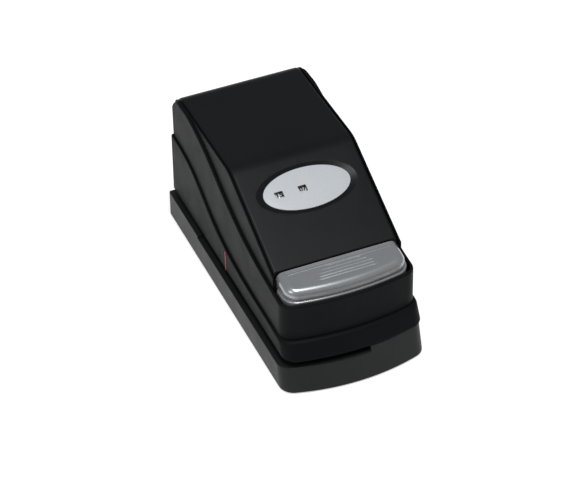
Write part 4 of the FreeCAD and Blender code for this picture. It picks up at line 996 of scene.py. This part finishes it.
def make_bar():
    """The push bar: a cap with a broad front rounding, grip grooves, foot flange and hollow underside."""
    plan = bar_plan()
    floor = BAR_LOW.z

    def flange(y):
        return -FLANGE * smooth(-74.5, -76.5, y)

    rings = [bar_ring(plan, flange, level=floor), bar_ring(plan, flange, level=FLANGE_TOP - 0.4)]
    rings += [bar_ring(plan, lambda y: flange(y) * 0.75, level=FLANGE_TOP)]
    rings += [bar_ring(plan, 0.0, level=FLANGE_TOP + 0.05), bar_ring(plan, 0.0, level=FLANGE_TOP + 0.6)]
    steps = 12
    for step in range(steps + 1):
        turn = math.pi / 2 * step / steps
        rings.append(bar_ring(plan, BAR_EDGE * (1 - math.cos(turn)), drop=BAR_EDGE * (1 - math.sin(turn))))
    inner = [bar_ring(plan, BAR_WALL, level=floor), bar_ring(plan, BAR_WALL, level=floor + 7)]
    inner = [[(x, min(y, BAR_BACK - 2.4), z) for x, y, z in ring] for ring in inner]
    points, faces = loft(inner[::-1] + rings, caps=False)
    count = len(rings[0])
    faces.append(tuple(range(count))[::-1])
    add_bar_crown(plan, points, faces, len(points) - count)
    bar = mesh_piece("press_bar", points, faces, BAR_SILVER, 50.0)
    settle(bar, "press", "push_bar")


def add_bar_crown(plan, points, faces, start):
    """Fills the bar's top with rows of faces between the two sides of its last ring."""
    half = len(plan)
    columns = BAR_COLUMNS
    span = 2 * half - 1
    across_back = [start + span + columns - 1 - number for number in range(1, columns)]
    rows = [[start, *across_back, start + span - 1]]
    for index in range(1, half - 1):
        right = start + index
        left = start + span - 1 - index
        x, y, _ = points[right]
        row = [right]
        for number in range(1, columns):
            across = x * (1 - 2 * number / columns)
            row.append(len(points))
            points.append((across, y, bar_top(across, y)))
        rows.append(row + [left])
    for upper, lower in zip(rows, rows[1:]):
        for number in range(columns):
            faces.append((upper[number], lower[number], lower[number + 1], upper[number + 1]))
    tip = start + half - 1
    final = rows[-1]
    for number in range(columns):
        faces.append((final[number], tip, final[number + 1]))


# The return spring.

COIL_RADIUS = 4.4
COIL_PITCH = 2.6
COIL_STEPS = 28
WIRE_STEPS = 10


def make_return_spring():
    """The coil between the rod's collar and its bush, drawn at its rest length on the case."""
    low, high = box_mm("return_spring")
    middle = (low + high) / 2
    wire = (high.x - low.x) / 2 - COIL_RADIUS
    rise = high.z - low.z - 2 * wire
    count = round(COIL_STEPS * rise / COIL_PITCH)
    rings = []
    for index in range(count + 1):
        turn = 2 * math.pi * index / COIL_STEPS
        out = Vector((math.cos(turn), math.sin(turn), 0))
        centre = Vector((middle.x, middle.y, low.z + wire + rise * index / count)) + out * COIL_RADIUS
        spokes = [2 * math.pi * number / WIRE_STEPS for number in range(WIRE_STEPS)]
        rings.append(
            [centre + out * (wire * math.cos(t)) + Vector((0, 0, wire * math.sin(t))) for t in spokes]
        )
    coil = lofted("return_coil", rings, STEEL_ROUND, angle=60.0)
    settle(coil, "case", "return_spring")
    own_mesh(coil)


# Numbers on the wheels. Each shows a little above its window's middle and to its right.

WINDOW_RISE = 0.6
NUMBER_SHIFT = 1.1
NUMBER_STRETCH = 1.15
NUMBER_GAP = 0.035
INK_THICKNESS = 0.03
STROKE_GROWTH = 0.22
CAPITAL_SHARE = 0.72


def digit_mesh(text, height):
    """A flat mesh of a number, centred, in millimetres."""
    curve = bpy.data.curves.new("digits", "FONT")
    curve.body = text
    curve.size = height / CAPITAL_SHARE
    curve.align_x = "CENTER"
    curve.align_y = "CENTER"
    curve.resolution_u = 3
    curve.extrude = INK_THICKNESS
    curve.offset = STROKE_GROWTH
    holder = bpy.data.objects.new("digits", curve)
    bpy.context.scene.collection.objects.link(holder)
    graph = bpy.context.evaluated_depsgraph_get()
    mesh = bpy.data.meshes.new_from_object(holder.evaluated_get(graph))
    bpy.data.objects.remove(holder)
    return mesh


def make_number_band(name, body, count, shown, height):
    """The numbers printed round a wheel, turned so that the shown one stands under its window."""
    pivot = joint(body + "_turn")["pos_m"]
    radius = wheel_rim(body)
    axle = Vector((0, pivot[1] / MM, pivot[2] / MM))
    window = on_slope() @ Vector((WINDOW_SPOTS[body] - OVAL_ACROSS, WINDOW_RISE, 0))
    facing = math.atan2(window.z - axle.z, -(window.y - axle.y))
    work = bmesh.new()
    for number in range(count):
        mesh = digit_mesh(f"{number:02d}", height)
        turn = facing - 2 * math.pi * (number - shown) / count
        for vertex in mesh.vertices:
            x, up, lift = vertex.co
            angle = turn + up / radius
            reach = radius + NUMBER_GAP + lift
            vertex.co = (
                (MIDDLE + WINDOW_SPOTS[body] + NUMBER_SHIFT + x * NUMBER_STRETCH) * MM,
                (axle.y - reach * math.cos(angle)) * MM,
                (axle.z + reach * math.sin(angle)) * MM,
            )
        work.from_mesh(mesh)
        bpy.data.meshes.remove(mesh)
    bmesh.ops.remove_doubles(work, verts=work.verts, dist=1e-7)
    bmesh.ops.recalc_face_normals(work, faces=work.faces)
    band = bpy.data.meshes.new(name)
    work.to_mesh(band)
    work.free()
    obj = finish_mesh(name, band, DIGIT_INK)
    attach(obj, body)


def wheel_rim(body):
    """The radius of the smooth rim that carries a wheel's numbers."""
    low, high = box_mm(body + "_wheel")
    return (high.y - low.y) / 2 - 0.6


# Stage, light and camera.

FLOOR_HALF = 4000.0
FLOOR_GLOW = 0.5
SURROUND = 0.3


def make_stage():
    """A plain pale floor, large enough to fill the view."""
    corners = [(FLOOR_HALF * x, FLOOR_HALF * y, 0) for x, y in ((-1, -1), (1, -1), (1, 1), (-1, 1))]
    floor = mesh_piece("floor", corners, [(0, 1, 2, 3)], None)
    material, tree, shader, place = new_material("pale_floor")
    mottle = noise(tree, place, 2.0, 2.0)
    tree.links.new(ramp(tree, mottle, (0.86, 0.86, 0.86), (0.88, 0.88, 0.88)), shader.inputs["Base Color"])
    shader.inputs["Roughness"].default_value = 0.9
    shader.inputs["Specular IOR Level"].default_value = 0.0
    shader.inputs["Emission Color"].default_value = (1, 1, 1, 1)
    shader.inputs["Emission Strength"].default_value = FLOOR_GLOW
    floor.data.materials.append(material)


def add_area(name, spot, target, width, power):
    """A soft square light aimed at a point. Places are in metres."""
    light = bpy.data.lights.new(name, "AREA")
    light.size = width
    light.energy = power
    holder = bpy.data.objects.new(name, light)
    holder.location = spot
    holder.rotation_euler = (Vector(target) - Vector(spot)).to_track_quat("-Z", "Y").to_euler()
    bpy.context.scene.collection.objects.link(holder)


def make_light():
    """Soft studio light: an overhead box, a left key and a white surround."""
    world = bpy.data.worlds.new("studio")
    world.use_nodes = True
    background = world.node_tree.nodes["Background"]
    background.inputs["Color"].default_value = (1, 1, 1, 1)
    background.inputs["Strength"].default_value = SURROUND
    bpy.context.scene.world = world
    target = (0, 0, 0.05)
    add_area("overhead", (-0.06, -0.36, 1.5), target, 0.45, 12.5)
    add_area("left_key", (-1.3, -0.6, 1.25), target, 0.6, 5.0)
    bpy.context.scene.view_settings.view_transform = "Standard"


CAMERA_TARGET = Vector((MIDDLE + 9.588, 38.92, 0.0))
CAMERA_DISTANCE = 1980.0
CAMERA_TURN = math.radians(-22.325)
CAMERA_RISE = math.radians(39.962)
CAMERA_ROLL = math.radians(-1.281)
CAMERA_LENS = 160.9
SENSOR = 36.0


def make_camera():
    """The camera at the viewing angle of the picture: from the front left, looking down."""
    turn, rise, roll = CAMERA_TURN, CAMERA_RISE, CAMERA_ROLL
    back = Vector((math.sin(turn) * math.cos(rise), -math.cos(turn) * math.cos(rise), math.sin(rise)))
    level = Vector((math.cos(turn), math.sin(turn), 0))
    upward = back.cross(level)
    right = level * math.cos(roll) + upward * math.sin(roll)
    up = upward * math.cos(roll) - level * math.sin(roll)
    data = bpy.data.cameras.new("camera")
    data.lens = CAMERA_LENS
    data.sensor_width = SENSOR
    data.clip_start = 0.05
    holder = bpy.data.objects.new("camera", data)
    turned = Matrix((right, up, back)).transposed().to_4x4()
    holder.matrix_world = Matrix.Translation((CAMERA_TARGET + back * CAMERA_DISTANCE) * MM) @ turned
    bpy.context.scene.collection.objects.link(holder)
    bpy.context.scene.camera = holder


dress_cad_nodes()
make_base()
make_band()
make_mid()
make_cover()
make_label()
make_panes()
make_bar()
make_return_spring()
make_number_band("hour_numbers", "hour", 24, 15, 3.6)
make_number_band("minute_numbers", "minute", 60, 7, 3.3)
make_stage()
make_light()
make_camera()
